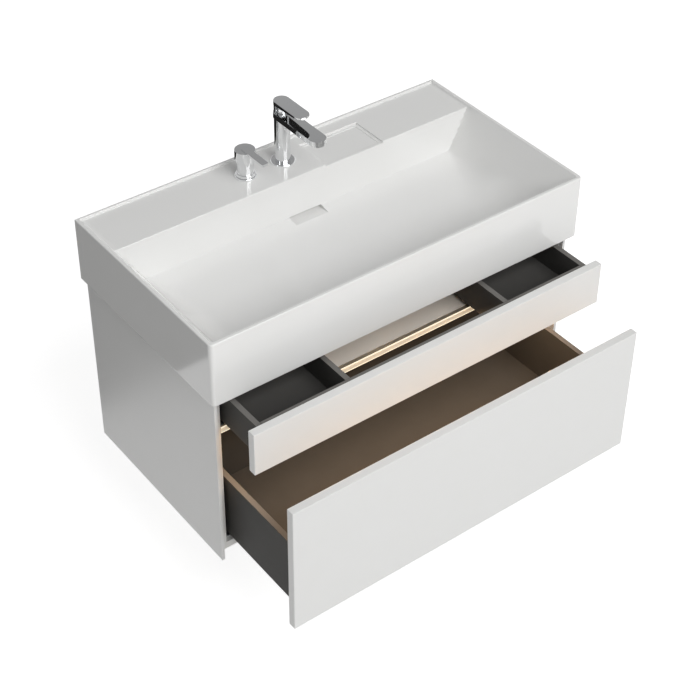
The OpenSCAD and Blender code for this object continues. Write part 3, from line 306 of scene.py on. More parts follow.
def dress(piece, node):
    """The finish of the node's slot, or for the drawer boards the board with a painted highlight on its
    upward faces
    """
    piece.data.materials.clear()
    piece.data.materials.append(painted_highlight_board if node in PAINTED_TOP_NODES else FINISH[SLOT_OF[node]])


for node, cad_piece in frame["nodes"].items():
    dress(cad_piece, node)
print("finishes:", len(FINISH), "edged boards:", len(PAINTED_TOP_NODES))

# %% [markdown]
# ## Eased edges
# No board or casting has a knife edge. A CAD node's mesh is loose triangles, so a copy is welded,
# its flat faces are joined up again, and a Bevel modifier rounds every edge that is sharper than
# 30 degrees. The rounded edges catch the light as thin bright lines, as they do in the photograph.

# %% Eased copies of CAD nodes
WELD, FLAT, SHARP = 2e-5, math.radians(0.3), math.radians(30)


def deselect():
    if bpy.context.object and bpy.context.object.mode != "OBJECT":
        bpy.ops.object.mode_set(mode="OBJECT")
    bpy.ops.object.select_all(action="DESELECT")


def activate(piece):
    deselect()
    piece.select_set(True)
    bpy.context.view_layer.objects.active = piece


def settle(piece, *nodes):
    """Gives a finished piece its body and its finish, and hides the nodes that it stands for"""
    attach(piece, BODY_OF[nodes[0]])
    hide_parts(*nodes)
    dress(piece, nodes[0])


def smooth_but_flat(piece, degrees):
    """Smooth shading on the rounded edges, while large faces keep their own direction"""
    activate(piece)
    bpy.ops.object.shade_smooth_by_angle(angle=math.radians(degrees))
    weighted = piece.modifiers.new("weighted", "WEIGHTED_NORMAL")
    weighted.keep_sharp, weighted.weight = True, 80
    bpy.ops.object.modifier_apply(modifier="weighted")


def bevel_edges(piece, width_mm, segments, sharper_than=SHARP):
    """Rounds the edges of a piece that turn by more than an angle"""
    activate(piece)
    bevel = piece.modifiers.new("eased", "BEVEL")
    bevel.width, bevel.segments = width_mm / 1000, segments
    bevel.limit_method, bevel.angle_limit = "ANGLE", sharper_than
    bpy.ops.object.modifier_apply(modifier="eased")


def eased_copy(node, width_mm, segments=2, smooth=35):
    """A copy of a CAD node with rounded edges, which takes the node's place"""
    piece = bpy.data.objects.new(node + "_eased", frame["nodes"][node].data.copy())
    bpy.context.scene.collection.objects.link(piece)
    activate(piece)
    bpy.ops.object.mode_set(mode="EDIT")
    bpy.ops.mesh.select_all(action="SELECT")
    bpy.ops.mesh.remove_doubles(threshold=WELD)
    bpy.ops.mesh.dissolve_limited(angle_limit=FLAT)
    bpy.ops.object.mode_set(mode="OBJECT")
    bevel_edges(piece, width_mm, segments)
    smooth_but_flat(piece, smooth)
    settle(piece, node)
    print(piece.name, len(piece.data.polygons), "faces")
    return piece


# %% Boards and hardware
EASED_MM = {
    "side_cover_left": 0.8, "side_cover_right": 0.8, "carcass_side_left": 0.5,
    "carcass_side_right": 0.5, "bottom_panel": 0.5, "divider_shelf": 0.5, "rear_rail_upper": 0.5,
    "rear_rail_lower": 0.5, "upper_front": 1.4, "lower_front": 1.4, "upper_side_left": 0.7,
    "upper_side_right": 0.7, "upper_dividers": 0.7, "upper_floors": 0.4, "upper_backs": 0.7,
    "upper_front_rail": 0.7, "lower_side_left": 0.7, "lower_side_right": 0.7, "lower_back": 0.7,
    "lower_floor": 0.4, "upper_runner_rails": 0.25, "lower_runner_rails": 0.25,
    "upper_middle_members": 0.25, "lower_middle_members": 0.25, "upper_slides": 0.25, "lower_slides": 0.25,
    "hanger_left": 0.5, "hanger_right": 0.5, "wall_plates": 0.4, "touch_latches": 0.6,
    "upper_latch_plunger": 0.5, "lower_latch_plunger": 0.5, "waste_body": 0.6, "waste_nut": 0.8,
    "waste_plug": 0.6, "trap_nuts": 0.9, "wall_rosette": 0.5, "soap_bottle": 0.8, "mixer_nut": 0.6,
    "dispenser_nut": 0.6, "basin_pads": 0.3, "panel_screws": 0.25, "trap_bend": 0.4, "waste_pipe": 0.4,
    "outlet_pipe": 0.4, "pump_barrel": 0.4, "pump_stem": 0.4, "dip_tube": 0.3, "mixer_cartridge": 0.5,
}
for node, width in EASED_MM.items():
    eased_copy(node, width)

# %% [markdown]
# ## Washbasin: its form
# A washbasin is cast in plaster moulds, so every edge is round and every wall leans a little. Seen
# from above each point has one height, and nearly all its lines run straight along X or Y. So the
# top can be a grid whose lines lie close together at the edges and wide apart on the open floor,
# with each vertex set to its height. That gives clean rows of quads, where a Bevel on the CAD mesh
# would leave rough patches. The first cell holds the sizes, in millimetres: x to the right, d out
# from the wall. The outline comes from the frame, but the rim is thinner here than in the CAD
# model, and the tray a little deeper, as the photograph shows them.

# %% Basin sizes
basin_low, basin_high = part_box("washbasin")
HALF_W, DEPTH = round(basin_high.x * 1000), round(-basin_low.y * 1000)
RIM_Z, SKIRT_Z = round(basin_high.z * 1000), round(basin_low.z * 1000)
# the floor is lowest at the drain, and 24 mm higher at the crease behind the bowl
DECK_Z, FLOOR_Z, FLOOR_FALL = 85, -22, 24
RIM, REAR_RIM, DECK_EDGE, CREASE, DRAIN = 6.5, 5, 130, 143, 398
# the tray is a step down from the deck, with a pan a little lower inside its border
TRAY, TRAY_BACK, TRAY_DROP, TRAY_R = (60, 211), 36, 3.8, 0.9
PAN_BORDER, PAN_DROP, PAN_FRONT = 7, 1.5, DECK_EDGE + 1
CORNER_R, EDGE_R, BOTTOM_R, WALL, DECK_WALL = 8, 2.2, 2, 12, 14
CONE_R, CONE_RUN, FRONT_FOOT_R = (10, 120), 150, 50
BOWL_BLEND, DECK_BLEND = 14, 4
TAP_D, PUMP_X, BOLT_X = 65, -92, 140
INNER_X, FRONT_D = HALF_W - RIM, DEPTH - RIM
REAR_SLOPE = (DECK_Z - FLOOR_Z - FLOOR_FALL) / (CREASE - DECK_EDGE)
SIDE_SLOPE, FRONT_SLOPE = 88 / 60, 28
FLOOR_R = ((DRAIN - CREASE) ** 2 + FLOOR_FALL ** 2) / (2 * FLOOR_FALL)
print("basin:", 2 * HALF_W, "by", DEPTH, "mm, floor radius", round(FLOOR_R), "mm")

# %% [markdown]
# ## Washbasin: its heights
# Three small functions draw the forms. A step has two rounded corners. A leaning wall runs into the
# floor through an arc. Two surfaces that meet are joined by a soft maximum, which rounds the inner
# corner. The next cell puts them together as bowl, deck and rim. The side walls' arc grows from
# 10 mm at the rear to 120 mm in the next 150 mm, so it is a cone: in the photograph the rear corner
# is crisp, and further forward no line is left.

# %% Height functions
def clamp(value, low, high):
    return max(low, min(high, value))


def step(t, drop, r=EDGE_R):
    """How far the surface has gone down, t past the edge of a step with rounded corners"""
    r = min(r, drop / 2)
    if t <= 0:
        return 0
    if t < r:
        return r - math.sqrt(r * r - t * t)
    if t < 2 * r:
        return drop - r + math.sqrt(r * r - (2 * r - t) ** 2)
    return drop


def foot(t, height, slope, r):
    """Height above the floor, t inside the top of a leaning wall that ends in an arc"""
    lean = math.atan(slope)
    end = height / slope + r * math.tan(lean / 2)
    if t >= end:
        return 0
    arc_x = end - t
    if arc_x < r * math.sin(lean):
        return r - math.sqrt(r * r - arc_x * arc_x)
    return height - slope * t


def soft_max(a, b, k):
    """The higher of two surfaces, blended where they are less than k apart"""
    near = max(k - abs(a - b), 0) / k
    return max(a, b) + k * near * near / 4


# %% Heights of the bowl, the deck and the rim
SIDE_LEAN, REAR_LEAN = math.atan(SIDE_SLOPE), math.atan(REAR_SLOPE)
SIDE_TURN = EDGE_R * math.sin(SIDE_LEAN)  # where the rounded rim meets the side wall


def floor_height(d):
    """The floor is a shallow arc, lowest at the drain"""
    return FLOOR_Z + FLOOR_R - math.sqrt(FLOOR_R ** 2 - (d - DRAIN) ** 2)


def bowl_height(x, d):
    """The floor with its leaning side walls, and the steep front wall"""
    bottom = floor_height(d)
    cone_r = CONE_R[0] + (CONE_R[1] - CONE_R[0]) * clamp((d - CREASE) / CONE_RUN, 0, 1)
    run = EDGE_R * math.tan(SIDE_LEAN / 2)
    sides = bottom + foot(INNER_X - run - abs(x), RIM_Z - bottom, SIDE_SLOPE, cone_r)
    front = FLOOR_Z + foot(FRONT_D - EDGE_R - d, RIM_Z - EDGE_R - FLOOR_Z, FRONT_SLOPE, FRONT_FOOT_R)
    return soft_max(sides, front, BOWL_BLEND)


def deck_height(x, d):
    """The deck with its two-step tray, and the slope that falls from its front edge"""
    tray = min(x - TRAY[0], TRAY[1] - x, d - TRAY_BACK)
    pan = min(tray, PAN_FRONT - d) - PAN_BORDER
    level = DECK_Z - step(tray, TRAY_DROP, TRAY_R) - step(pan, PAN_DROP)
    past = d - DECK_EDGE - (DECK_Z - level) / REAR_SLOPE
    run = EDGE_R * math.tan(REAR_LEAN / 2)
    if past < -run:
        return level
    if past < run * math.cos(REAR_LEAN):
        return level - EDGE_R + math.sqrt(EDGE_R * EDGE_R - (past + run) ** 2)
    return level - REAR_SLOPE * past


def basin_height(x, d):
    """The rim's rounded top, and inside it the higher of the deck and the bowl"""
    side, ends = INNER_X - abs(x), min(FRONT_D - d, d - REAR_RIM)
    inside = min(side, ends)
    outside = min(HALF_W - abs(x), DEPTH - d, d)
    if side < SIDE_TURN or ends < EDGE_R:
        inner_fall = step(inside, 2 * EDGE_R)
        outer_fall = EDGE_R - math.sqrt(EDGE_R ** 2 - max(EDGE_R - outside, 0) ** 2)
        return RIM_Z - inner_fall - outer_fall
    rise = 0
    if d < DECK_EDGE:
        rise = EDGE_R - math.sqrt(EDGE_R ** 2 - clamp(2 * EDGE_R - inside, 0, EDGE_R) ** 2)
    return min(soft_max(deck_height(x, d) + rise, bowl_height(x, d), DECK_BLEND), RIM_Z)


print("heights:", [round(basin_height(0, d), 1) for d in (TAP_D, CREASE, DRAIN)])

# %% [markdown]
# ## Washbasin: the grid
# Close lines are set where an edge turns: four steps of equal angle for each rounded corner, and a
# line about a millimetre outside it on each side, which keeps the flat faces beside it flat in
# shading. Wide gaps are then filled evenly. The front corners' last 8 mm are pulled from a square
# to a quarter circle.

# %% Grid lines
TURN = [math.radians(a) for a in (0, 22.5, 45, 67.5, 90)]
BESIDE, BEYOND, EITHER_SIDE = 1.2, 1, 0.01
RIM_TOP_LINES = (3.2, 4, 5.5, 7, 8)
DECK_TURN_LINES = (-3, -1.9, -1.4, -0.9, -0.4, 0, 0.3, 0.5, 0.8, 2, 4, 7, 10, 11.5)
CREASE_LINES = (-0.6, -0.4, -0.2, 0, 0.15, 0.4, 0.8, 1.6, 3, 6)
FRONT_WALL_LINES = (0.2, 0.4, 0.7, 1, 1.3, 1.6, 1.9, 2.3, 2.9, 3.8, 5, 7, 10, 14, 19, 25, 32, 40, 48)


def step_lines(edge, sign, r=EDGE_R):
    """Lines across a step with two rounded corners, with a pair where they meet"""
    offsets = [-BESIDE] + [r * math.sin(a) for a in TURN[:-1]] + [r - EITHER_SIDE, r + EITHER_SIDE]
    offsets += [2 * r - r * math.sin(a) for a in TURN[:-1]] + [2 * r + BEYOND]
    return [edge + sign * o for o in offsets]


def outer_lines(edge, sign):
    """Lines across one rounded corner at the basin's outline"""
    return [edge + sign * (EDGE_R - EDGE_R * math.sin(a)) for a in reversed(TURN)]


def filled(lines, widest):
    """The lines in order, with even ones between them where a gap is wider than it may be"""
    lines = sorted(set(round(v, 3) for v in lines))
    for low, high in zip(lines[:], lines[1:]):
        count = math.ceil((high - low) / widest(0.5 * (low + high)))
        lines += [low + (high - low) * n / count for n in range(1, count)]
    return sorted(lines)


def x_gap(x):
    """Close on the leaning side walls, wide on the floor between them"""
    if 370 < abs(x) < 440:
        return 2.5
    return 5 if 320 < abs(x) < 440 else 11


def d_gap(d):
    """Close on the slope behind the bowl"""
    return 4 if DECK_EDGE < d < CREASE else 9


x_lines = []
for side in (-1, 1):
    x_lines += outer_lines(side * HALF_W, -side) + step_lines(side * INNER_X, -side)
    x_lines += [side * (HALF_W - v) for v in RIM_TOP_LINES] + [side * (INNER_X - SIDE_TURN)]
for edge, sign in ((TRAY[0], 1), (TRAY[1], -1)):
    x_lines += step_lines(edge, sign, TRAY_R) + step_lines(edge + sign * PAN_BORDER, sign, PAN_DROP / 2)
x_lines = filled(x_lines, x_gap)
d_lines = outer_lines(0, 1) + outer_lines(DEPTH, -1) + step_lines(REAR_RIM, 1) + step_lines(FRONT_D, -1)
d_lines += step_lines(TRAY_BACK, 1, TRAY_R) + step_lines(TRAY_BACK + PAN_BORDER, 1, PAN_DROP / 2)
d_lines += step_lines(PAN_FRONT - PAN_BORDER, -1, PAN_DROP / 2) + [DEPTH - v for v in RIM_TOP_LINES]
d_lines += [DECK_EDGE + v for v in DECK_TURN_LINES] + [CREASE + v for v in CREASE_LINES]
d_lines += [FRONT_D - EDGE_R - v for v in FRONT_WALL_LINES]
d_lines = filled(d_lines, d_gap)
print("basin grid:", len(x_lines), "by", len(d_lines), "lines")

# %% Basin top
def height_grid(name, xs, ds, height):
    """A grid whose lines and heights are given in millimetres; d is the distance from the wall"""
    deselect()
    bpy.ops.mesh.primitive_grid_add(x_subdivisions=len(xs) - 1, y_subdivisions=len(ds) - 1, size=1)
    grid = bpy.context.object
    grid.name = name
    for vertex in grid.data.vertices:
        x = xs[round((vertex.co.x + 0.5) * (len(xs) - 1))]
        d = ds[round((0.5 - vertex.co.y) * (len(ds) - 1))]
        vertex.co = (x / 1000, -d / 1000, height(x, d) / 1000)
    return grid


CORNER_X, CORNER_D = HALF_W - CORNER_R, DEPTH - CORNER_R
basin = height_grid("washbasin_glazed", x_lines, d_lines, basin_height)
for vertex in basin.data.vertices:
    u, v = abs(vertex.co.x) * 1000 - CORNER_X, -vertex.co.y * 1000 - CORNER_D
    if u > 0 and v > 0:
        pull = max(u, v) / math.hypot(u, v)
        vertex.co.x = math.copysign((CORNER_X + u * pull) / 1000, vertex.co.x)
        vertex.co.y = -(CORNER_D + v * pull) / 1000
print("basin top:", len(basin.data.vertices), "vertices")

# %% [markdown]
# ## Washbasin: walls and underside
# The grid's border is extruded down to the lower edge, in rings that round that edge, and closed.
# Below, a washbasin is open: a second, coarser grid follows the bowl 12 mm under its surface and is
# cut out with a Boolean. The drain, the tap holes and the wall bolts' holes are drilled the same
# way, as in the clay before it is fired.

# %% Tools for an open border
def select_border(piece):
    """Edit mode, with only the open border selected"""
    activate(piece)
    bpy.ops.object.mode_set(mode="EDIT")
    bpy.ops.mesh.select_mode(type="EDGE")
    bpy.ops.mesh.select_all(action="DESELECT")
    bpy.ops.mesh.select_non_manifold()


def extrude_border(piece, moved):
    """Extrudes the selected border, and moves each of its points"""
    bpy.ops.mesh.extrude_region_move()
    bpy.ops.object.mode_set(mode="OBJECT")
    for vertex in piece.data.vertices:
        if vertex.select:
            vertex.co = moved(vertex.co)
    bpy.ops.object.mode_set(mode="EDIT")


def close_border():
    """Fills the selected border and turns all faces outwards"""
    bpy.ops.mesh.edge_face_add()
    bpy.ops.mesh.select_all(action="SELECT")
    bpy.ops.mesh.normals_make_consistent(inside=False)
    bpy.ops.object.mode_set(mode="OBJECT")


# %% Basin walls
def ring_place(co, inset, z):
    """A border point moved inwards by the inset and to a height, in millimetres"""
    x, d = co.x * 1000, -co.y * 1000
    if abs(x) > CORNER_X and d > CORNER_D:
        away = math.hypot(abs(x) - CORNER_X, d - CORNER_D)
        shrink = (away - inset) / away
        x = math.copysign(CORNER_X + (abs(x) - CORNER_X) * shrink, x)
        d = CORNER_D + (d - CORNER_D) * shrink
    else:
        x, d = clamp(x, inset - HALF_W, HALF_W - inset), clamp(d, inset, DEPTH - inset)
    return x / 1000, -d / 1000, z / 1000


BELOW_RIM = 4
rings = [(0, RIM_Z - BELOW_RIM), (0, SKIRT_Z + BOTTOM_R + BEYOND)]
for angle in [math.radians(a) for a in (0, 30, 60, 90)]:
    inwards, down = BOTTOM_R * math.cos(angle), BOTTOM_R * math.sin(angle)
    rings.append((BOTTOM_R - inwards, SKIRT_Z + BOTTOM_R - down))
rings.append((BOTTOM_R + BEYOND, SKIRT_Z))
select_border(basin)
for inset, z in rings:
    extrude_border(basin, lambda co: ring_place(co, inset, z))
close_border()
print("basin block:", len(basin.data.polygons), "faces")

# %% Basin underside
DUCT_HALF_W, DUCT_BACK, DUCT_Z, DUCT_WALL = 48, 121, -26, 28
NEARBY, BELOW_SKIRT = (6, 11.5), 10


def surface_height(x, d):
    """The bowl's surface, or the slope behind it where that is higher"""
    if d < CREASE:
        return max(deck_height(x, d), bowl_height(x, d))
    return bowl_height(x, d)


def underside_height(x, d):
    """12 mm from the bowl's surface, also sideways, and below the deck and the overflow duct"""
    low = DECK_Z - DECK_WALL
    for n in range(8):
        for reach in NEARBY:
            px, pd = x + reach * math.cos(n * math.pi / 4), d + reach * math.sin(n * math.pi / 4)
            if pd > DECK_EDGE:
                low = min(low, surface_height(px, pd) - math.sqrt(WALL ** 2 - reach ** 2))
    if d > DECK_EDGE:
        low = min(low, surface_height(x, d) - WALL)
    if abs(x) < DUCT_HALF_W and DUCT_BACK < d < DRAIN:
        low = min(low, DUCT_Z, floor_height(d) - DUCT_WALL)
    return low


UNDER_X_LINES = (47.8, 48.2, 340, 380, 415)
UNDER_D_LINES = (12, 108, 114, 118, 120.8, 121.2, 124, 128, 132, 140, 397, 430, 445, 455, 461, 468)
UNDER_GAP = 20
under_x = filled([side * v for side in (-1, 1) for v in UNDER_X_LINES], lambda place: UNDER_GAP)
under_d = filled(UNDER_D_LINES, lambda place: UNDER_GAP)
cavity = height_grid("cavity", under_x, under_d, underside_height)
select_border(cavity)
extrude_border(cavity, lambda co: (co.x, co.y, (SKIRT_Z - BELOW_SKIRT) / 1000))
close_border()
print("cavity:", len(under_x), "by", len(under_d), "lines")

# %% Basin holes
BOSS_R, SEAT_R, DRAIN_R, MIXER_HOLE_R, PUMP_HOLE_R, BOLT_HOLE_R = 36, 33, 23, 17.5, 14.5, 7
BOSS_Z, SEAT_Z, DRAIN_Z, DECK_HOLE_Z = (-51, -26), (-24, 20), (-60, -20), (60, 100)
BOLT_DEPTH, CLEAR_OF_WALL = 14, 2


def cut(piece, cutter, operation="DIFFERENCE"):
    """Cuts a piece with another, which is then deleted"""
    activate(piece)
    modifier = piece.modifiers.new("cut", "BOOLEAN")
    modifier.operation, modifier.object, modifier.solver = operation, cutter, "EXACT"
    bpy.ops.object.modifier_apply(modifier="cut")
    bpy.data.objects.remove(cutter)


def rod(r, start, end, segments=64):
    """A cylinder between two points, in millimetres; cutters and cores are made of it"""
    start, end = Vector(start) / 1000, Vector(end) / 1000
    deselect()
    direction = (end - start).to_track_quat("Z", "Y").to_euler()
    bpy.ops.mesh.primitive_cylinder_add(vertices=segments, radius=r / 1000, depth=(end - start).length,
                                        location=(start + end) / 2, rotation=direction)
    made = bpy.context.object
    bpy.ops.object.transform_apply(location=True, rotation=True, scale=True)
    return made


def upright(r, x, d, heights, segments=64):
    """A rod that stands between two heights"""
    return rod(r, (x, -d, heights[0]), (x, -d, heights[1]), segments)


cut(basin, cavity)
cut(basin, upright(BOSS_R, 0, DRAIN, BOSS_Z), "UNION")
cut(basin, upright(SEAT_R, 0, DRAIN, SEAT_Z))
cut(basin, upright(DRAIN_R, 0, DRAIN, DRAIN_Z))
cut(basin, upright(MIXER_HOLE_R, 0, TAP_D, DECK_HOLE_Z))
cut(basin, upright(PUMP_HOLE_R, PUMP_X, TAP_D, DECK_HOLE_Z))
for x in (-BOLT_X, BOLT_X):
    cut(basin, rod(BOLT_HOLE_R, (x, CLEAR_OF_WALL, 0), (x, -BOLT_DEPTH, 0), 32))
print("basin drilled:", len(basin.data.polygons), "faces")

# %% [markdown]
# ## Washbasin: the overflow
# The overflow is a slot 80 mm wide at the foot of the rear wall, with a scoop in the floor in front
# of it. A box gives the cutter, and the scoop's front end is raised, the lower edge more than the
# upper one.

# %% Overflow slot
SLOT_SIZE, SLOT_MIDDLE, SLOT_EDGE_R = (0.080, 0.038, 0.009), (0, -0.149, -0.0015), 0.0014
SCOOP_RISE, SLOT_TOP_RISE = 0.0024, 0.0005


def block(size, middle):
    """A box of a size round its middle, in metres"""
    deselect()
    bpy.ops.mesh.primitive_cube_add(size=1, location=middle)
    made = bpy.context.object
    made.dimensions = size
    bpy.ops.object.transform_apply(location=True, rotation=True, scale=True)
    return made


def round_all_edges(piece, width, segments):
    """Bevels every edge, by a width in metres"""
    activate(piece)
    bpy.ops.object.mode_set(mode="EDIT")
    bpy.ops.mesh.select_all(action="SELECT")
    bpy.ops.mesh.bevel(offset=width, segments=segments)
    bpy.ops.object.mode_set(mode="OBJECT")


scoop = block(SLOT_SIZE, SLOT_MIDDLE)
for vertex in scoop.data.vertices:
    if vertex.co.y < SLOT_MIDDLE[1]:
        vertex.co.z += SCOOP_RISE if vertex.co.z < SLOT_MIDDLE[2] else SLOT_TOP_RISE
round_all_edges(scoop, SLOT_EDGE_R, 3)
cut(basin, scoop)
activate(basin)
bpy.ops.object.shade_smooth_by_angle(angle=math.radians(40))
settle(basin, "washbasin")
print("washbasin:", len(basin.data.polygons), "faces")

# %% [markdown]
# ## Taps
# The mixer and the soap dispenser are turned and milled from brass, then polished and chromed. The
# round parts are drawn as half a section and turned round their axis with Spin, so that every rim
# has its small polished radius. The spout and the lever are the CAD solids with rounded edges,
# because their outlines are exact there. On a mirror finish it is these radii that show: each one
# gathers the whole studio into a thin bright or dark line. Heights in a section are counted from
# the deck.

# %% Turned pieces
MIXER = Vector((0, -TAP_D / 1000, DECK_Z / 1000))
PUMP = Vector((PUMP_X / 1000, -TAP_D / 1000, DECK_Z / 1000))


def turned(name, section, foot_at, steps=72):
    """Spins a section, (radius, height) in millimetres, round a vertical axis"""
    mesh = bpy.data.meshes.new(name)
    points = [(foot_at.x + r / 1000, foot_at.y, foot_at.z + z / 1000) for r, z in section]
    mesh.from_pydata(points, [(n, n + 1) for n in range(len(points) - 1)], [])
    piece = bpy.data.objects.new(name, mesh)
    bpy.context.scene.collection.objects.link(piece)
    activate(piece)
    bpy.ops.object.mode_set(mode="EDIT")
    bpy.ops.mesh.select_all(action="SELECT")
    bpy.ops.mesh.spin(steps=steps, angle=2 * math.pi, center=foot_at, axis=(0, 0, 1))
    bpy.ops.mesh.select_all(action="SELECT")
    bpy.ops.mesh.remove_doubles(threshold=1e-6)
    bpy.ops.mesh.normals_make_consistent(inside=False)
    bpy.ops.object.mode_set(mode="OBJECT")
    return piece


def rounded(points, r, steps=3):
    """A section whose inner corners are rounded"""
    section = [points[0]]
    for before, corner, after in zip(points, points[1:], points[2:]):
        a, c, b = Vector(before), Vector(corner), Vector(after)
        reach = min(r, (a - c).length * 0.45, (b - c).length * 0.45)
        a, b = c + (a - c).normalized() * reach, c + (b - c).normalized() * reach
        for n in range(steps + 1):
            t = n / steps
            section.append(tuple(a * (1 - t) ** 2 + c * 2 * t * (1 - t) + b * t * t))
    return section + [points[-1]]


def finish_turned(piece, node):
    """Shades a turned piece and puts it in its node's place"""
    smooth_but_flat(piece, 32)
    settle(piece, node)
    print(piece.name, len(piece.data.polygons), "faces")


# %% Mixer: hub
HUB_Z, DOME_R, DOME_MIDDLE, DOME_TOP = 118.3, 10.3, 3.6, 13.9
DOME_START, DOME_SWEEP, DOME_STEPS = 8, 76, 12
PIN_R, PIN_HALF, PIN_D, PIN_Z = 1.5, 13.4, 57, 207.5
STEM_HOLE_R, STEM_HOLE_Z = 4.05, (200, 212.3)
hub_section = rounded([(0, 0), (11.4, 0), (11.4, 3.2), (10.2, 3.9), (10.2, 4.8)], 0.6)
for n in range(DOME_STEPS + 1):
    angle = math.radians(DOME_START + DOME_SWEEP * n / DOME_STEPS)
    hub_section.append((DOME_R * math.cos(angle), DOME_MIDDLE + DOME_R * math.sin(angle)))
hub_section.append((0, DOME_TOP))
hub = turned("lever_dome", [(r, z + HUB_Z) for r, z in hub_section], MIXER)
cut(hub, rod(PIN_R, (-PIN_HALF, -PIN_D, PIN_Z), (PIN_HALF, -PIN_D, PIN_Z), 24), "UNION")
cut(hub, upright(STEM_HOLE_R, 0, TAP_D, STEM_HOLE_Z, 32))
finish_turned(hub, "lever_hub")

# %% Mixer: rosette and aerator
AERATOR_OUT = Vector((0, -0.121, 0))
ROSETTE = [(16.55, 0), (26.3, 0), (26.3, 2.2), (24.6, 3.9), (16.55, 3.9), (16.55, 0)]
AERATOR = [(0, 100.6), (7.6, 100.6), (8.2, 100.0), (9.9, 100.0), (9.9, 105.9), (8.9, 106),
           (8.9, 111.9), (0, 111.9)]
finish_turned(turned("mixer_rosette_turned", rounded(ROSETTE, 0.7), MIXER), "mixer_rosette")
finish_turned(turned("aerator_turned", rounded(AERATOR, 0.5), MIXER + AERATOR_OUT), "aerator")

# %% Dispenser: neck
NECK = [(9.05, -39), (12.5, -39), (12.5, 0), (23, 0), (23, 2.6), (21.6, 3.9), (20, 4.1), (20, 9.0),
        (18.6, 10), (17.2, 10.2), (17.2, 12.4), (17.7, 12.9), (17.7, 38.2), (16.9, 39), (9.05, 39)]
neck = turned("dispenser_neck_turned", rounded(NECK, 0.8) + [NECK[0]], PUMP)
finish_turned(neck, "dispenser_neck")

# %% Dispenser: cap with its nozzle
CAP = [(0, 60), (4.1, 60), (18.4, 60), (18.4, 39.4), (21.4, 39.4), (21.4, 63.6), (0, 63.6)]
NOZZLE_SIZE, NOZZLE_OUT, NOZZLE_UP = (0.0158, 0.077, 0.0050), 0.0345, 0.0635
NOZZLE_CORNER_R = 0.003
SPOUT_R, SPOUT_D, SPOUT_Z, STEM_BORE_Z = 4, 130, (142, 147), (144, 147.6)
nozzle = block(NOZZLE_SIZE, (PUMP.x, PUMP.y - NOZZLE_OUT, PUMP.z + NOZZLE_UP))
bpy.ops.object.mode_set(mode="EDIT")
bpy.ops.mesh.select_mode(type="EDGE")
bpy.ops.mesh.select_all(action="DESELECT")
bpy.ops.object.mode_set(mode="OBJECT")
for edge in nozzle.data.edges:
    a, b = (nozzle.data.vertices[n].co for n in edge.vertices)
    edge.select = abs(a.z - b.z) > NOZZLE_SIZE[2] / 2
bpy.ops.object.mode_set(mode="EDIT")
bpy.ops.mesh.bevel(offset=NOZZLE_CORNER_R, segments=6)
bpy.ops.object.mode_set(mode="OBJECT")
cap = turned("press_cap", rounded(CAP, 0.6), PUMP)
cut(nozzle, upright(SPOUT_R, PUMP_X, SPOUT_D, SPOUT_Z, 32), "UNION")
cut(cap, nozzle, "UNION")
cut(cap, upright(STEM_HOLE_R, PUMP_X, TAP_D, STEM_BORE_Z, 32))
bevel_edges(cap, 0.5, segments=2, sharper_than=math.radians(50))
finish_turned(cap, "pump_head")

# %% Mixer: body and lever
TAPER_FROM, TOP_PLATE, TAPER_SHARE = 0.03, 0.0012, 0.72
eased_copy("mixer_body", 0.9, segments=3, smooth=40)
lever = eased_copy("mixer_lever", 0.9, segments=3, smooth=40)
# the lever thins towards its tip: its flat top stays, and its underside rises
tip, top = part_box("mixer_lever")
for vertex in lever.data.vertices:
    reach = clamp((MIXER.y - vertex.co.y) / (MIXER.y - tip.y), 0, 1)
    depth = top.z - vertex.co.z
    if depth > TOP_PLATE and vertex.co.y < MIXER.y - TAPER_FROM:
        vertex.co.z = top.z - TOP_PLATE - (depth - TOP_PLATE) * (1 - TAPER_SHARE * reach)
lever.data.update()

# %% [markdown]
# ## The light in the shelf
# The shelf's front carries an aluminium profile, and the photograph shows a cream band on it, with a
# brighter line along the upper edge and another along the lower. So a thin sheet covers the
# profile's front and is joined to the diffuser, whose finish draws both lines: the lower one is the
# diffuser's glow, the upper one a painted highlight, and the band a painted glow for the profile's
# front lit by the LEDs. A lamp of a warm colour, further down, stands in for what the LEDs throw
# into the drawer below.

# %% Light profile and diffuser
GLOW_SHEET_DEPTH, GLOW_SHEET_SET_BACK, GLOW_SHEET_SHORTER, GLOW_SHEET_EDGE_R = 0.0012, 0.0004, 0.002, 0.0003
eased_copy("led_profile", 0.9, segments=1)
glowing = eased_copy("led_diffuser", 0.2, segments=1)
# a thin sheet over the profile's front, which carries the painted highlight and the painted glow of the band
lens = block((profile_high.x - profile_low.x - GLOW_SHEET_SHORTER, GLOW_SHEET_DEPTH, profile_high.z - profile_low.z),
             (0, profile_low.y + GLOW_SHEET_SET_BACK, profile_middle))
round_all_edges(lens, GLOW_SHEET_EDGE_R, 2)
dress(lens, "led_diffuser")
activate(glowing)
lens.select_set(True)
bpy.ops.object.join()
print("light and lens:", len(glowing.data.polygons), "faces")

# %% [markdown]
# ## Studio
# The background is plain white to the camera, but it lights the object only softly, with a third of
# that strength. Mirrors see it white near the horizon and grey overhead, or every glossy top would
# be as white as paper. The floor is 0.85 m below the rim, as in a bathroom. It keeps a soft shadow,
# and a little emission, for the camera and mirrors alone, lifts it towards the white behind it.

